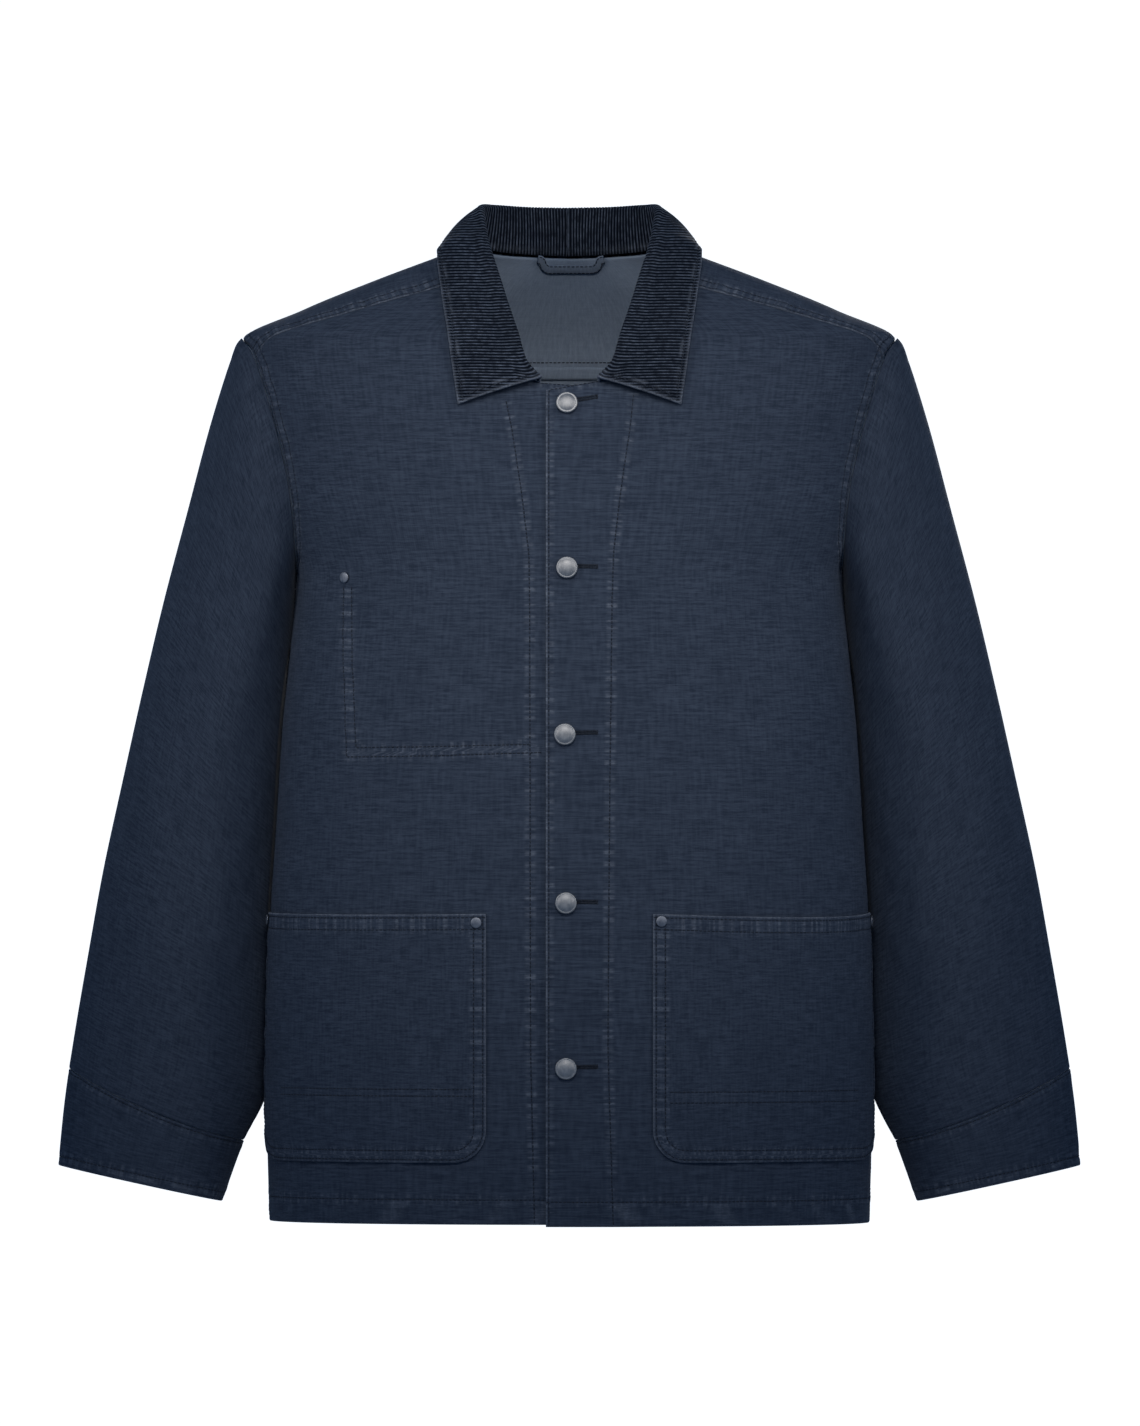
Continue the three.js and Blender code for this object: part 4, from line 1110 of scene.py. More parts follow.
def make_back():
    below = lerp(HEM_Z, ARMPIT_Z, steps(BACK_ROWS_BELOW, 0.5)[:-1])
    above = lerp(ARMPIT_Z, BACK_YOKE_Z - SEAM_GAP, steps(BACK_ROWS_ABOVE, 0, 0.3))
    z = np.concatenate([below, above])[:, None]
    at_side = np.pi / 2 + (SEAM_GAP / 2 / back_depth_at(z)) ** (OVAL / 2)
    at_arm = torso_angle(armhole_x_at(z) - SEAM_GAP, z, True)
    edge = np.where(z > ARMPIT_Z, at_arm, at_side)
    u = lerp(-1, 1, steps(BACK_COLS, 0.4, 0.4))[None, :]
    side = np.where(u < 0, -1, 1) + 0 * z
    angle = lerp(np.pi, edge, np.abs(u))
    level = z + 0 * u
    base = on_torso(side, angle, level, np.zeros_like(level), False)
    normals = torso_normal(side, angle, level)
    arm_rows = z[:, 0] > ARMHOLE_START_Z
    rows = [Row(inset_line(base, 0, False, HEM_ROW), 61, pucker=0.5, worn=0.3)]
    for from_end, seed in ((False, 62), (True, 66)):
        for inset in ARMHOLE_ROWS:
            rows.append(Row(inset_line(base[arm_rows], 1, from_end, inset), seed, pucker=0.4))
            rows.append(Row(inset_line(base[~arm_rows], 1, from_end, inset), seed + 1, pucker=0.45))
    strips = []
    for way in (-1, 1):
        seam_z = np.linspace(HEM_Z + 1, ARMPIT_Z - 2, SIDE_SEAM_POINTS)
        seam_angle = np.full_like(seam_z, np.pi / 2)
        seam = on_torso(way, seam_angle, seam_z, np.zeros_like(seam_z), False)
        strips.append(allowance(seam, torso_normal(way, seam_angle, seam_z)))
    worn = {(0, False): 0.6, (1, False): 0.4, (1, True): 0.4}
    roped = ((False, HEM_ROW, 69),)
    piece = sew_piece("back_cloth", base, normals, rows, worn=worn, strips=strips, roped=roped)
    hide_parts("back")


YOKE_SEAM_ROWS = (1.8, 7.6)
YOKE_BACK_ROW = 7.5
YOKE_SHOULDER_COLS = 10
YOKE_COLS = 17
YOKE_STEPS_OVER, YOKE_STEPS_BEHIND, YOKE_STEPS_OUT = 105, 75, 75
YOKE_ALLOWANCE_STRIDE = 3
NECK_VIEW = 70


# Distance from the centre plane at which the armhole has each drop.
def armhole_x_for_drop(drop):
    def deeper(z):
        return drop_at(armhole_x_at(z), z, True) > np.abs(drop)

    return armhole_x_at(level_where(drop, BACK_YOKE_Z - 10, SHOULDER_Z, deeper))


# One half of the yoke as angle and level, from the front seam to the centre of the back.
def yoke_half(column, v):
    column = column[:, None]
    neck_x, neck_drop, _, _ = neck_seam(YOKE_NECK_T * (1 - column / YOKE_COLS))
    front_drop = drop_at(armhole_x_at(YOKE_ARM_Z), YOKE_ARM_Z, False)
    back_drop = drop_at(armhole_x_at(BACK_YOKE_Z), BACK_YOKE_Z, True)
    over_drop = lerp(front_drop, back_drop, np.minimum(column / YOKE_SHOULDER_COLS, 1))
    past = np.maximum(column - YOKE_SHOULDER_COLS, 0) / (YOKE_COLS - YOKE_SHOULDER_COLS)
    back_x = armhole_x_at(BACK_YOKE_Z) * (1 - past)
    outer_x = np.where(past > 0, back_x, armhole_x_for_drop(over_drop))
    outer_drop = np.where(past > 0, drop_at(back_x, BACK_YOKE_Z, True), over_drop)
    outer_x = outer_x - SEAM_GAP
    seam_angle, seam_z = yoke_front_seam(v, SEAM_GAP / 2)
    seam_x = torso_point(1, seam_angle, seam_z)[..., 0]
    bow_x = seam_x - lerp(neck_x[0], outer_x[0], v)
    bow_drop = drop_at(seam_x, seam_z, False) - lerp(neck_drop[0], outer_drop[0], v)
    near_seam = np.clip(1 - column / YOKE_SHOULDER_COLS, 0, 1)
    x = lerp(neck_x, outer_x, v) + bow_x * near_seam
    drop = lerp(neck_drop, outer_drop, v) + bow_drop * near_seam
    return over_shoulder(x, drop)


def make_yoke():
    shoulder = steps(YOKE_STEPS_OVER, 0.5, 0.3)[:-1] * YOKE_SHOULDER_COLS
    behind = YOKE_SHOULDER_COLS + steps(YOKE_STEPS_BEHIND, 0.2) * (YOKE_COLS - YOKE_SHOULDER_COLS)
    column = np.concatenate([shoulder, behind])
    angle, z = yoke_half(column, steps(YOKE_STEPS_OUT, 0, 0.4))
    side = np.ones_like(z)
    angle = np.concatenate([angle, angle[-2::-1]])
    z = np.concatenate([z, z[-2::-1]])
    side = np.concatenate([-side, side[:-1]])
    base = on_torso(side, angle, z, np.zeros_like(z), False)
    normals = torso_normal(side, angle, z)
    corner = len(shoulder)
    arm_right = base[:corner + 1]
    arm_left = base[-corner - 1:]
    back_part = base[corner:len(base) - corner]
    rows = []
    for inset in YOKE_SEAM_ROWS:
        for from_end, seed in ((False, 71), (True, 72)):
            rows.append(Row(inset_line(base, 0, from_end, inset), seed, pucker=0.6, worn=0.6))
    for part, seed in ((arm_right, 73), (arm_left, 74)):
        for inset in ARMHOLE_ROWS:
            rows.append(Row(inset_line(part, 1, True, inset), seed, pucker=0.35, worn=0.45))
    rows.append(Row(inset_line(back_part, 1, True, YOKE_BACK_ROW), 75, pucker=0.5))
    back_normals = normals[corner:len(base) - corner]
    seams = [(base[0], normals[0]), (base[-1], normals[-1]), (back_part[:, -1], back_normals[:, -1])]
    stride = YOKE_ALLOWANCE_STRIDE
    strips = [allowance(line[::stride], facing[::stride]) for line, facing in seams]
    worn = {(0, False): 0.6, (0, True): 0.6, (1, True): 0.5}
    piece = sew_piece("yoke_cloth", base, normals, rows, worn=worn, strips=strips)
    inside_row = rows[-1].line
    inside_row = inside_row[np.abs(inside_row[:, 0]) < NECK_VIEW] - np.array([0, CANVAS + 1, 0])
    sew(piece, inside_row)
    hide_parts("yoke")


make_back()
make_yoke()


# Sleeves and cuffs

SLEEVE_CLEARANCE = 2.6
UNDERARM_PRESS = 0.4
UNDERARM_HEIGHT = 18
UNDERARM_BLEND = 60
PRESS_REACH = 1.6
ARMHOLE_SHARE = 0.16
CREASE_START, CREASE_BLEND = 6, 14
SLEEVE_RINGS, CUFF_RINGS, TUBE_SIDES = 222, 48, 168
SLEEVE_ROW_COLUMNS = (3, -5)
CUFF_SEAM_ROW = 2.4
CUFF_ROW = 7


def sleeve_relief(t, psi, folds):
    height = np.zeros(np.broadcast(t, psi).shape)
    for start, end, angle_from, angle_to, width, rise in folds:
        along = np.clip((t - start) / (end - start), 0, 1)
        height += rise * bell(psi, width, lerp(angle_from, angle_to, along)) * np.sin(np.pi * along)
    return height


# How far points of a sleeve move sideways to lie on the body's side just below the armpit
# and clear of it further down.
def clear_of_body(points):
    x, y, z = points[..., 0], points[..., 1], points[..., 2]
    depth = np.where(y < 0, front_depth_at(z), back_depth_at(z))
    left = np.clip(1 - (np.abs(y) / depth) ** OVAL, 0, None)
    below = ARMPIT_Z - z
    clearance = lerp(-UNDERARM_PRESS, SLEEVE_CLEARANCE, smooth((below - UNDERARM_HEIGHT) / UNDERARM_BLEND))
    gap = half_width_at(z) * left ** (1 / OVAL) + clearance - x
    pressed = (below < UNDERARM_HEIGHT) & (np.abs(gap) < PRESS_REACH)
    beside = (below > 0) & (z > HEM_Z) & (left > 0)
    return np.where(beside, np.where(pressed, gap, np.maximum(gap, 0)), 0)


# Grid of a sleeve or cuff on the wearer's left, and the directions that face out of it.
def tube_grid(sections, t, psi, armhole):
    curves = [row_curve(sections[:, column]) for column in range(7)]
    outer_x, outer_z, inner_x, inner_z, half_depth, centre_y, sag = (c(t)[:, None] for c in curves)
    psi = psi[None, :]
    c, s = np.cos(psi), np.sin(psi)
    half_x, half_z = (outer_x - inner_x) / 2, (outer_z - inner_z) / 2
    half_width = np.hypot(half_x, half_z)
    x = (outer_x + inner_x) / 2 + half_x * c
    y = centre_y - half_depth * s
    z = (outer_z + inner_z) / 2 + half_z * c - sag * s * s
    if armhole:
        weight = smooth(1 - t / ARMHOLE_SHARE)[:, None]
        ring_z = lerp(inner_z, outer_z, (1 + c) / 2)
        hole_z = lerp(sections[0, 3], sections[0, 1], (1 + c) / 2) + 0 * t[:, None]
        hole_x = armhole_x_at(hole_z)
        hole = torso_point(1, torso_angle(hole_x, hole_z, s < 0), hole_z)
        chord_x = lerp(sections[0, 2], sections[0, 0], (1 + c) / 2)
        x = x + (hole[..., 0] - chord_x + SEAM_GAP) * weight
        y = lerp(y, hole[..., 1], weight)
        z = lerp(z, ring_z, weight)
    points = np.stack([x, y, z], -1)
    depth_share = half_depth * c / half_width
    facing = unit(np.stack([half_x * depth_share, -half_width * s, half_z * depth_share], -1))
    if armhole:
        points = points + facing * sleeve_relief(t[:, None], psi, SLEEVE_FOLDS)[..., None]
    points[..., 0] += clear_of_body(points)
    return points, facing


ALLOWANCE_ROW = 2


# Outer and inner face of the seam allowance round an armhole, from under the body's panels
# to under the first rows of the sleeve.
def armhole_allowance(side, psi, base, facing):
    psi = np.append(psi, psi[0])
    z = lerp(ARMPIT_Z, SHOULDER_Z, (1 + np.cos(psi)) / 2)
    x = armhole_x_at(z)
    drop = drop_at(x, z, np.sin(psi) < 0)
    faces = []
    for depth in ALLOWANCE_DEPTHS:
        rows = []
        for inset in (ALLOWANCE_HALF, ALLOWANCE_HALF / 2, 0):
            angle, level = over_shoulder(x - inset, drop)
            rows.append(on_torso(side, angle, level, np.full_like(level, -depth), False))
        under_sleeve = base[ALLOWANCE_ROW] - facing[ALLOWANCE_ROW] * depth
        rows.append(closed(under_sleeve))
        faces.append(np.stack(rows, axis=1))
    return faces


TUBE_ANGLES = np.pi * (2 * np.arange(TUBE_SIDES) / TUBE_SIDES - 1)


def closed(line):
    return np.concatenate([line, line[:1]])


def make_sleeve(name, side):
    t = steps(SLEEVE_RINGS, 0.2, 0.2)
    psi = TUBE_ANGLES
    base, facing = tube_grid(SLEEVE_SECTIONS, t, psi, True)
    clear_by = base[..., 0] - half_width_at(base[..., 2])
    clear = np.clip((clear_by - CREASE_START) / CREASE_BLEND, 0, 1)
    clear = np.where(base[..., 2] > ARMPIT_Z, 1, clear)
    lift = sleeve_relief(t[:, None], psi[None, :], SLEEVE_CREASES) * clear
    base = base + facing * lift[..., None]
    flip = np.array([side, 1, 1])
    base, facing = base * flip, facing * flip
    rows = []
    for column in SLEEVE_ROW_COLUMNS:
        rows.append(Row(base[:, column], 81 if side < 0 else 82, pucker=0.3, worn=0.3, groove=0.3))
    cuff_seam = allowance(closed(base[-1]), closed(facing[-1]))
    strips = [armhole_allowance(side, psi, base, facing), cuff_seam]
    return sew_piece(name, base, facing, rows, tube=True, strips=strips, worn={(0, True): 0.7})


def make_cuff(name, side):
    base, facing = tube_grid(CUFF_SECTIONS, steps(CUFF_RINGS, 0.3, 0.3), TUBE_ANGLES, False)
    flip = np.array([side, 1, 1])
    base, facing = base * flip, facing * flip
    seed = 83 if side < 0 else 86
    rows = [
        Row(tube_line(base, False, CUFF_SEAM_ROW), seed, pucker=0.5, worn=0.3),
        Row(tube_line(base, True, CUFF_ROW), seed + 1, pucker=0.5, worn=0.35),
    ]
    roped = ((True, CUFF_ROW, seed + 2),)
    return sew_piece(name, base, facing, rows, tube=True, worn={(0, True): 0.6}, roped=roped)


def tube_line(grid, from_end, distance):
    return closed(inset_line(grid, 0, from_end, distance, 4))


for side_name, side in (("right", -1), ("left", 1)):
    sleeve = make_sleeve(f"sleeve_{side_name}_cloth", side)
    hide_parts(f"sleeve_{side_name}")
    cuff = make_cuff(f"cuff_{side_name}_cloth", side)
    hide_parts(f"cuff_{side_name}")


# Hip pockets

POCKET_CLOTH = 1.6
POCKET_SEAT = 0.6
POCKET_INNER_X = 62
POCKET_EDGE_Y = 5
POCKET_TOP_Z = -490.5
POCKET_BOTTOM_Z = node_box("hip_pocket_right")[0][2]
POCKET_CORNER = 24
OUTER_STRETCH = 1.7
MOUTH_GAP = 1.6
MOUTH_REACH = 60
POCKET_ROWS = (2.2, 9)
MOUTH_ROWS = (2.6, 11.5)
POCKET_COLS, POCKET_SIDE_ROWS, POCKET_CORNER_ROWS = 108, 88, 20
LINE_SIDE, LINE_CORNER, LINE_BOTTOM = 30, 9, 38


# Angle on the front at a distance in front of the side seam.
def angle_at_depth(depth, z):
    return np.arccos((depth / front_depth_at(z)) ** (OVAL / 2))


# Outline of a pocket at a distance inside its edge: from the top of the inner side down,
# round the bottom and up the outer side, as angle and level.
def pocket_outline(inset, top):
    radius = POCKET_CORNER - inset
    corner_z = POCKET_BOTTOM_Z + POCKET_CORNER
    turn = np.pi / 2 * np.linspace(0, 1, LINE_CORNER)
    side_z = np.linspace(top, corner_z, LINE_SIDE)
    round_in = POCKET_CORNER - radius * np.cos(turn)
    round_z = corner_z - radius * np.sin(turn)
    z_down = np.concatenate([side_z, round_z])
    away = np.concatenate([np.full(LINE_SIDE, inset), round_in])
    inner = torso_angle(POCKET_INNER_X + away, z_down, False)
    outer = angle_at_depth(POCKET_EDGE_Y + inset + (away - inset) * OUTER_STRETCH, z_down)
    across = np.linspace(inner[-1], outer[-1], LINE_BOTTOM + 2)[1:-1]
    angle = np.concatenate([inner, across, outer[::-1]])
    level = np.concatenate([z_down, np.full(LINE_BOTTOM, z_down[-1]), z_down[::-1]])
    return angle, level


def make_pocket(name, side, lapped, mouth_sag, faint_rows):
    turn = np.pi / 2 * steps(POCKET_CORNER_ROWS)
    corner_z = POCKET_BOTTOM_Z + POCKET_CORNER * (1 - np.cos(turn))
    corner_in = POCKET_CORNER * (1 - np.sin(turn))
    straight = steps(POCKET_SIDE_ROWS, 0, 0.4)[1:]
    straight_z = lerp(POCKET_BOTTOM_Z + POCKET_CORNER, POCKET_TOP_Z, straight)
    z = np.concatenate([corner_z, straight_z])[:, None]
    inset = np.concatenate([corner_in, 0 * straight_z])[:, None]
    inner = torso_angle(POCKET_INNER_X + inset, z, False)
    outer = angle_at_depth(POCKET_EDGE_Y + inset * OUTER_STRETCH, z)
    u = steps(POCKET_COLS, 0.4, 0.4)[None, :]
    angle = lerp(inner, outer, u)

    def face(share, angle, z):
        middle = np.sin(np.pi * share) * smooth((z - POCKET_TOP_Z) / MOUTH_REACH + 1)
        rise = POCKET_SEAT + MOUTH_GAP * middle + POCKET_CLOTH
        level = z - mouth_sag * middle
        return on_torso(side, angle, level, rise, lapped), level

    def line_on_face(angle, z):
        inner_edge = torso_angle(POCKET_INNER_X, z, False)
        share = (angle - inner_edge) / (angle_at_depth(POCKET_EDGE_Y, z) - inner_edge)
        return face(np.clip(share, 0, 1), angle, z)[0]

    base, level = face(u, angle, z)
    normals = torso_normal(side, angle, level)
    seed = 21 if side > 0 else 41
    rows = []
    for inset in POCKET_ROWS:
        outline = line_on_face(*pocket_outline(inset, POCKET_TOP_Z))
        rows.append(Row(outline, seed, pucker=0.35, worn=0.5))
    for inset in MOUTH_ROWS:
        rows.append(Row(inset_line(base, 0, True, inset), seed + 1, pucker=0.4, worn=0.55))
    for places in faint_rows:
        line = line_on_face(*across_pocket(*places))
        rows.append(Row(line, seed + 2, pucker=0.12, groove=0.2, worn=0.12))
    worn = {(0, True): 0.2, (1, False): 0.2, (1, True): 0.2, (0, False): 0.2}
    piece = sew_piece(name, base, normals, rows, cloth_wall=POCKET_CLOTH, worn=worn)
    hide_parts(f"hip_pocket_{'left' if side > 0 else 'right'}")


# Places along a level line across a pocket, as angle and level.
def across_pocket(start_x, end_x, z):
    x = np.linspace(start_x, end_x, LINE_SIDE)
    return torso_angle(x, np.full_like(x, z), False), np.full_like(x, z)


# Name, side, whether it lies on the lapped front, how far its mouth sags, and its faint rows
# as start x, end x and level
POCKETS = [
    ("hip_pocket_right_cloth", -1, False, 0.8, [(72, 214, -621), (72, 214, -626)]),
    ("hip_pocket_left_cloth", 1, True, 3, [(74, 214, -623), (74, 214, -631)]),
]
for pocket in POCKETS:
    make_pocket(*pocket)


# Collar

COLLAR_CLOTH = 2.4
FOLD_RADIUS = 2.2
WALE_PITCH = 2.28
WALE_DEPTH = 0.7
WALE_SWAY, SWAY_PITCH, SWAY_START = 0.12, 9, 3
COLUMNS_PER_WALE = 6
STAND_ROWS, ARC_ROWS, LEAF_ROWS = 9, 9, 42
LEAF_TURN, LEAF_TURN_WIDTH = 0.27, 0.1
LEAF_LEVEL_ROWS = 8
LINE_STEP = 0.01
LEAST_BEND = 0.45
STAND_SHARE = 0.6
EDGE_ROW = 4.5
INNER_ROW = 6.2
COLLAR_SEAM_ROW = 2
# How strongly each part of the collar is worn, pressed or sunk, and over what width
EDGE_WEAR, EDGE_WEAR_WIDTH = 1, 1.5
ROW_WEAR, ROW_WEAR_WIDTH = 0.4, 1.2
SEAM_WEAR, SEAM_WEAR_WIDTH = 1.3, 1.1
EDGE_PRESS, EDGE_PRESS_WIDTH = 0.35, 2
COLLAR_GROOVE, COLLAR_GROOVE_WIDTH = 0.5, 0.9
WALE_MIDDLE = 0.75
PATCH_ALONG, PATCH_DOWN, PATCH_SEED = 7, 5, 95


def neck_point(t):
    _, _, angle, z = neck_seam(t)
    return on_torso(1, angle, z, np.full_like(z, -CANVAS / 2), False, False)


def fold_point(t):
    return np.stack([curve(t) for curve in fold_curves], -1)


# Middle of the collar's cloth on one side: up the stand, round the fold and down the leaf.
def collar_lines(t, side):
    step = LINE_STEP
    neck = neck_point(t)
    _, _, edge_angle, edge_z = leaf_edge(t)
    edge = on_torso(1, edge_angle, edge_z, edge_lift_at(t), side > 0, False)
    _, _, neck_angle, neck_z = neck_seam(t)
    lap = relief(1, neck_angle, neck_z, True) if side > 0 else np.zeros_like(t)
    apex = fold_point(t)
    apex[:, 1] -= np.maximum(lap, 0)
    neck[:, 1] -= np.maximum(lap, 0)
    level = np.array([1.0, 0, 0])
    at_back = (t < step)[:, None]
    along = np.where(at_back, level, unit(fold_point(t + step) - fold_point(t - step)))
    up = apex - (neck + edge) / 2
    up = unit(up - along * dot(up, along))
    outward = np.cross(up, along)
    centre = apex - up * FOLD_RADIUS
    fold_start = centre - outward * FOLD_RADIUS
    fold_end = centre + outward * FOLD_RADIUS

    seam_line = np.where(at_back, level, unit(neck_point(t + step) - neck_point(t - step)))
    away = np.cross(seam_line, torso_normal(1, neck_angle, neck_z))
    rise = fold_start - neck
    away = np.where(dot(away, rise) < 0, -away, away)
    stand_height = np.linalg.norm(rise, axis=1, keepdims=True)
    rise = rise / stand_height
    bend = np.clip(dot(rise, away), LEAST_BEND, 1)
    tilt = np.sqrt(1 - bend * bend)
    start = (3 * SEAM_GAP + COLLAR_CLOTH / 2 * tilt) / bend
    stand_start = neck + rise * np.minimum(start, stand_height * STAND_SHARE)

    lines = [lerp(stand_start, fold_start, f) for f in np.linspace(0, 1, STAND_ROWS + 1)[:-1]]
    for turn in np.pi * np.linspace(0, 1, ARC_ROWS):
        lines.append(centre - outward * FOLD_RADIUS * math.cos(turn) + up * FOLD_RADIUS * math.sin(turn))
    swell = leaf_swell_at(t)[:, None]
    for f in steps(LEAF_ROWS, 0, 0.3)[1:]:
        lines.append(lerp(fold_end, edge, f) + outward * swell * 4 * f * (1 - f))
    grid = np.stack(lines, axis=1)
    grid[..., 0] *= side
    return grid


# Number of wales passed at each place of one side: level with the roll line on the stand and
# near the shoulder, and level lines on the front of the leaf.
def wale_count(t, grid):
    fine = np.linspace(0, 1, 600)
    fold = fold_point(fine)
    turned = smooth((fine[1:, None] - LEAF_TURN) / LEAF_TURN_WIDTH)
    gaps = np.diff(fold, axis=0) * lerp(np.array([1, 0.5, 1]), np.array([0.3, 0, 1]), turned)
    travelled = np.concatenate([[0], np.cumsum(np.linalg.norm(gaps, axis=1))]) / WALE_PITCH
    count = np.interp(t, fine, travelled)[:, None]
    front = fine > LEAF_TURN
    levels = -fold[front, 2]
    level = -grid[..., 2]
    by_level = np.interp(level, levels, travelled[front])
    by_level = by_level + np.maximum(level - levels[-1], 0) / WALE_PITCH
    weight = smooth((t - LEAF_TURN) / LEAF_TURN_WIDTH)[:, None]
    leaf = smooth((np.arange(grid.shape[1]) - STAND_ROWS - ARC_ROWS) / LEAF_LEVEL_ROWS)[None, :]
    return lerp(count, by_level, weight * leaf), travelled[-1]


def make_collar():
    _, total = wale_count(np.array([0.0]), fold_point(np.zeros(1))[:, None])
    t = np.linspace(0, 1, int(total * COLUMNS_PER_WALE) // 2 * 2 + 1)
    left, right = collar_lines(t, 1), collar_lines(t, -1)
    wales_left, _ = wale_count(t, left)
    wales_right, _ = wale_count(t, right)
    grid = np.concatenate([right[:0:-1], left])
    wales = np.concatenate([wales_right[:0:-1], wales_left])
    normals = grid_normals(grid)
    middle = len(grid) // 2
    if normals[middle, -LEAF_ROWS // 2, 1] < 0:
        normals = -normals
    from_edge = border_distance(grid, 1, True)
    from_ends = np.minimum(border_distance(grid, 0, False), border_distance(grid, 0, True))
    on_leaf = (np.arange(grid.shape[1]) > STAND_ROWS)[None, :]
    border = np.minimum(np.where(on_leaf, from_edge, FAR), from_ends)
    sway = WALE_SWAY * np.sin(from_edge / SWAY_PITCH) * np.minimum(wales / SWAY_START, 1)
    ridge = np.abs(np.sin(np.pi * (wales + 0.5 + sway))) ** 0.7
    patch = wander(from_ends / PATCH_ALONG + from_edge / PATCH_DOWN, PATCH_SEED)
    ridge_height = WALE_DEPTH * (ridge - WALE_MIDDLE) * (1 - EDGE_PRESS * bell(border, EDGE_PRESS_WIDTH))
    from_seam = border_distance(grid, 1, False)
    edge_wear = EDGE_WEAR * bell(border, EDGE_WEAR_WIDTH) * (0.75 + 0.35 * patch)
    row_wear = ROW_WEAR * bell(border, ROW_WEAR_WIDTH, INNER_ROW) * np.clip(patch + 0.4, 0, 1)
    seam_wear = SEAM_WEAR * bell(from_seam, SEAM_WEAR_WIDTH, COLLAR_SEAM_ROW) * (ridge > 0.5)
    groove = -COLLAR_GROOVE * bell(border, COLLAR_GROOVE_WIDTH, EDGE_ROW)
    base = grid + normals * COLLAR_CLOTH / 2
    bottom_row = inset_line(base, 1, True, EDGE_ROW, 4)
    leaf_part = base[:, STAND_ROWS + ARC_ROWS:]
    rows = [Row(bottom_row, 91, groove=0, pucker=0.15, worn=0)]
    piece = sew_piece("collar_cloth", base, normals, rows, cloth_wall=COLLAR_CLOTH,
                      material=corduroy, extra_height=ridge_height + groove,
                      wear=edge_wear + row_wear + seam_wear, ridge=ridge, stride=6)
    for from_end in (False, True):
        sew(piece, inset_line(leaf_part, 0, from_end, EDGE_ROW, 1)[:-3])
    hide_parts("collar")


make_collar()


# Hanging loop on the inside of the yoke

LOOP_HALF = 3.2
LOOP_CORNER = 7
LOOP_LIFT = 4
LOOP_SPLAY = 4
LOOP_CLOTH = 1.4
LOOP_DEPTH = 1.5
LOOP_PILLOW = 0.35


def make_hanger_loop():
    low, high = node_box("hanger_loop")
    half, corner = LOOP_HALF, LOOP_CORNER
    left_x, right_x = low[0] + half, high[0] - half
    top_z = high[2]
    low_z = low[2] + half
    turn = np.linspace(0, np.pi / 2, 9)
    path = [(left_x - LOOP_SPLAY, top_z)]
    path += [(left_x + corner * (1 - math.cos(a)), low_z + corner * (1 - math.sin(a))) for a in turn]
    path += [(right_x - corner * (1 - math.cos(a)), low_z + corner * (1 - math.sin(a))) for a in turn[::-1]]
    path.append((right_x + LOOP_SPLAY, top_z))
    line = resample(np.insert(np.array(path), 1, 0, axis=1), 0.9)
    run = unit(np.gradient(line, axis=0))
    across = np.stack([-run[:, 2], 0 * run[:, 0], run[:, 0]], -1)
    spread = np.linspace(-half, half, 10)
    grid = line[:, None] + across[:, None] * spread[None, :, None]
    x, z = grid[..., 0], grid[..., 2]
    side = np.where(x < 0, -1, 1)
    angle = torso_angle(x, z, True)
    depth = CANVAS + 2 * SEAM_GAP + LOOP_DEPTH
    pillow = LOOP_PILLOW * (1 - (spread / half) ** 2)[None, :] + 0 * x
    base = on_torso(side, angle, z + LOOP_LIFT, -depth - pillow, False, False)
    normals = -torso_normal(side, angle, z + LOOP_LIFT)
    rows = [Row(base[:, 1], 96, pucker=0.1, groove=0.2), Row(base[:, -2], 97, pucker=0.1, groove=0.2)]
    # The loop's outer face lies in shade against the yoke and takes part of the painted light of the inside.
    piece = sew_piece("hanger_loop_cloth", base, normals, rows, cloth_wall=LOOP_CLOTH, inside=0.6)
    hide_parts("hanger_loop")


make_hanger_loop()


# Buttons, buttonholes and rivets

# Radius and height of each ring, from the cloth out to the middle of the head
BUTTON_PROFILE = [
    (0, 0.4), (3.4, 0.4), (3.6, 0.6), (3.6, 1.5), (7.2, 1.7), (7.7, 2.0), (8, 2.5), (8, 2.9), (7.8, 3.3),
    (7.4, 3.55), (7.0, 3.6), (6.7, 3.5), (6.4, 3.62), (5.6, 4.05), (4.4, 4.5), (3, 4.8), (1.5, 4.95), (0, 5),
]
RIVET_PROFILE = [
    (0, 0.3), (3.9, 0.3), (4, 0.45), (4, 0.8), (3.85, 1.02), (3.5, 1.16), (3, 1.26), (2.2, 1.37),
    (1.4, 1.45), (0.6, 1.5), (0, 1.5),
]
TURNED_SIDES = 64


# Turned metal piece on the axis of the solid that it stands for; returns the middle of its seat.
def make_turned(name, profile, node, material):
    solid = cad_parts[node]
    points = np.array([v.co for v in solid.data.vertices]) / MM
    centre = points.mean(axis=0)
    _, _, axes = np.linalg.svd(points - centre)
    axis = axes[-1] if axes[-1][1] < 0 else -axes[-1]
    height = (points @ axis).max()
    seat = centre + axis * (height - profile[-1][1] - centre @ axis)
    first = unit(np.cross(axis, np.array([0, 0, 1.0])))
    second = np.cross(axis, first)
    cloth = Cloth()
    turns = 2 * np.pi * np.arange(TURNED_SIDES) / TURNED_SIDES
    ring = np.cos(turns)[:, None] * first + np.sin(turns)[:, None] * second
    body = profile[1:-1]
    grid = np.stack([seat + axis * h + ring * r for r, h in body])
    start = cloth.add(grid)
    index = start + np.arange(grid.shape[0] * TURNED_SIDES).reshape(grid.shape[:2])
    index = closed_rings(index)
    cloth.quads([index[:-1, :-1], index[:-1, 1:], index[1:, 1:], index[1:, :-1]])
    for tip, rim in ((profile[0], index[0]), (profile[-1], index[-1])):
        point = cloth.add(seat + axis * tip[1])
        cloth.faces.extend([[point, rim[k], rim[k + 1]] for k in range(TURNED_SIDES)])
    piece = finished_mesh(name, cloth, material)
    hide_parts(node)
    return seat


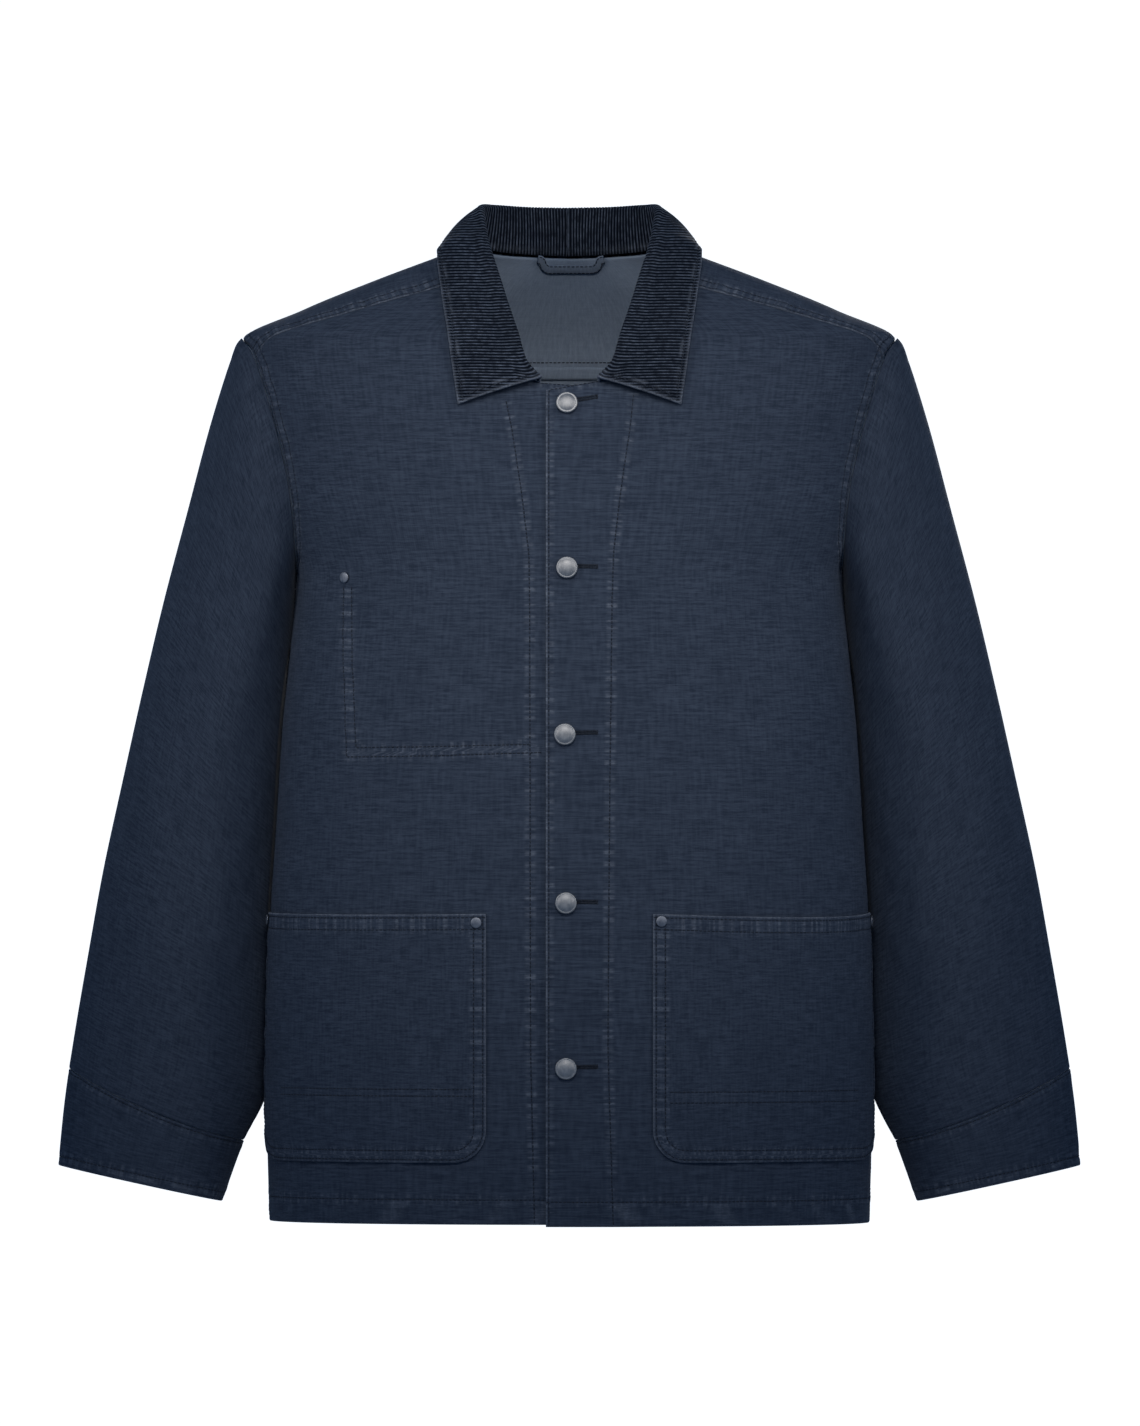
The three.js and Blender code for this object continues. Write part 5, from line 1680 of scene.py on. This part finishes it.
button_seats = []
for i in range(1, 6):
    seat = make_turned(f"button_{i}_metal", BUTTON_PROFILE, f"button_{i}", button_metal)
    button_seats.append(seat)
for node in ("chest", "right_inner", "right_outer", "left_inner", "left_outer"):
    make_turned(f"rivet_{node}_metal", RIVET_PROFILE, f"rivet_{node}", rivet_metal)

HOLE_START, HOLE_END_X = 4, 20
HOLE_HALF = 0.85
HOLE_RISE = 1
FIRST_HOLE_TILT, HOLE_TILT = 0.16, 0.02
BAR_PITCH, BAR_LENGTH = 0.62, 1.7
END_PITCH, END_LENGTH, END_HALF = 0.55, 1.5, 1.4
BAR_WIDTH = 0.34


# Keyhole buttonholes: two close rows of short threads and a bar across the far end.
def make_buttonholes():
    for i, seat in enumerate(button_seats):
        tilt = FIRST_HOLE_TILT if i == 0 else HOLE_TILT * (-1) ** i
        x = np.arange(seat[0] + HOLE_START, HOLE_END_X, BAR_PITCH)
        z = seat[2] + HOLE_RISE + tilt * (x - x[0])
        for way in (-1, 1):
            lay_bars(x, z + way * HOLE_HALF, np.array([0, 0, 1.0]), BAR_LENGTH)
        end_z = z[-1] + np.arange(-END_HALF, END_HALF + END_PITCH / 2, END_PITCH)
        lay_bars(np.full_like(end_z, HOLE_END_X + 0.4), end_z, np.array([1.0, 0, 0]), END_LENGTH)


def lay_bars(x, z, direction, length):
    angle = torso_angle(x, z, False) * np.sign(x)
    points = on_torso(1, angle, z, np.full_like(x, 0.1), True)
    normals = torso_normal(1, angle, z)
    directions = unit(direction - normals * dot(direction, normals))
    add_threads(points, directions, normals, length, BAR_WIDTH)


make_buttonholes()
topstitching = finished_mesh("topstitching", threads, thread)


# Camera, light and floor

PHOTO_HEIGHT = 1426
ORIGIN_ROW = 258
PHOTO_SCALE = 0.75
SENSOR = 36
CAMERA_DISTANCE = 12
CAMERA_X = 0.0004
camera_data = bpy.data.cameras.new("camera")
camera = bpy.data.objects.new("camera", camera_data)
bpy.context.scene.collection.objects.link(camera)
camera_data.sensor_width = SENSOR
camera_data.lens = SENSOR * CAMERA_DISTANCE / (PHOTO_HEIGHT * PHOTO_SCALE * MM)
camera.location = (CAMERA_X, -CAMERA_DISTANCE, (ORIGIN_ROW - PHOTO_HEIGHT / 2) * PHOTO_SCALE * MM)
camera.rotation_euler = (math.pi / 2, 0, 0)
bpy.context.scene.camera = camera


LIGHT_COLOUR = (1, 0.945, 0.87)


def area_light(name, place, target, width, height, power, spread):
    data = bpy.data.lights.new(name, "AREA")
    data.color = LIGHT_COLOUR
    data.shape = "RECTANGLE"
    data.size, data.size_y, data.energy = width, height, power
    data.spread = math.radians(spread)
    lamp = bpy.data.objects.new(name, data)
    lamp.location = place
    lamp.rotation_euler = (Vector(target) - Vector(place)).to_track_quat("-Z", "Y").to_euler()
    bpy.context.scene.collection.objects.link(lamp)


# Name, place, target, width, height, power in watts and spread in degrees
LIGHTS = [
    ("right_light", (-1.9, -1.4, 0.5), (0, 0, -0.24), 0.7, 0.7, 0.5, 24),
    ("left_light", (1.9, -1.4, 0.5), (0, 0, -0.24), 0.7, 0.7, 0.5, 24),
    ("front_light", (0, -1.5, 0.55), (0, 0, -0.33), 0.5, 0.5, 0.67, 39),
    ("neck_light", (0, -1.3, 0.9), (0, 0.05, -0.08), 0.3, 0.3, 0.008, 13),
    ("back_light", (0.3, 3.2, 0.7), (0, 0, -0.24), 1.8, 1.6, 75, 180),
]
for light in LIGHTS:
    area_light(*light)

SKY_COLOUR = (0.22, 0.53, 1, 1)
SKY_STRENGTH = 0.2
world = bpy.data.worlds.new("studio")
world.use_nodes = True
surroundings = world.node_tree.nodes["Background"]
surroundings.inputs["Color"].default_value = SKY_COLOUR
surroundings.inputs["Strength"].default_value = SKY_STRENGTH
bpy.context.scene.world = world
bpy.context.scene.view_settings.view_transform = "Standard"


# Part of the studio, which isn't part of the jacket.
def studio_piece(name, corners, faces, material):
    mesh = bpy.data.meshes.new(name)
    mesh.from_pydata(corners, [], faces)
    mesh.materials.append(material)
    piece = bpy.data.objects.new(name, mesh)
    bpy.context.scene.collection.objects.link(piece)
    return piece


BACKDROP_HALF = 20
STUDIO_WHITE = (0.8, 0.8, 0.8, 1)
backdrop_paint, backdrop_shader = new_material("white_backdrop")
backdrop_shader.inputs["Base Color"].default_value = STUDIO_WHITE
backdrop_shader.inputs["Emission Color"].default_value = (1, 1, 1, 1)
backdrop_shader.inputs["Emission Strength"].default_value = 1.0
ends = (-BACKDROP_HALF, BACKDROP_HALF)
backdrop_corners = [(x, y, z) for x in ends for y in ends for z in ends]
backdrop_faces = [(0, 1, 3, 2), (4, 6, 7, 5), (0, 4, 5, 1), (2, 3, 7, 6), (0, 2, 6, 4), (1, 5, 7, 3)]
backdrop = studio_piece("backdrop", backdrop_corners, backdrop_faces, backdrop_paint)
backdrop.visible_diffuse = False
backdrop.visible_glossy = False
backdrop.visible_shadow = False

FLOOR_X, FLOOR_Y, FLOOR_Z = 1, 0.75, -1.0
floor_paint, floor_shader = new_material("pale_floor")
floor_shader.inputs["Base Color"].default_value = STUDIO_WHITE
floor_shader.inputs["Roughness"].default_value = 0.9
floor_turns = ((-1, -1), (1, -1), (1, 1), (-1, 1))
floor_corners = [(way_x * FLOOR_X, way_y * FLOOR_Y, FLOOR_Z) for way_x, way_y in floor_turns]
studio_piece("floor", floor_corners, [(0, 1, 2, 3)], floor_paint)
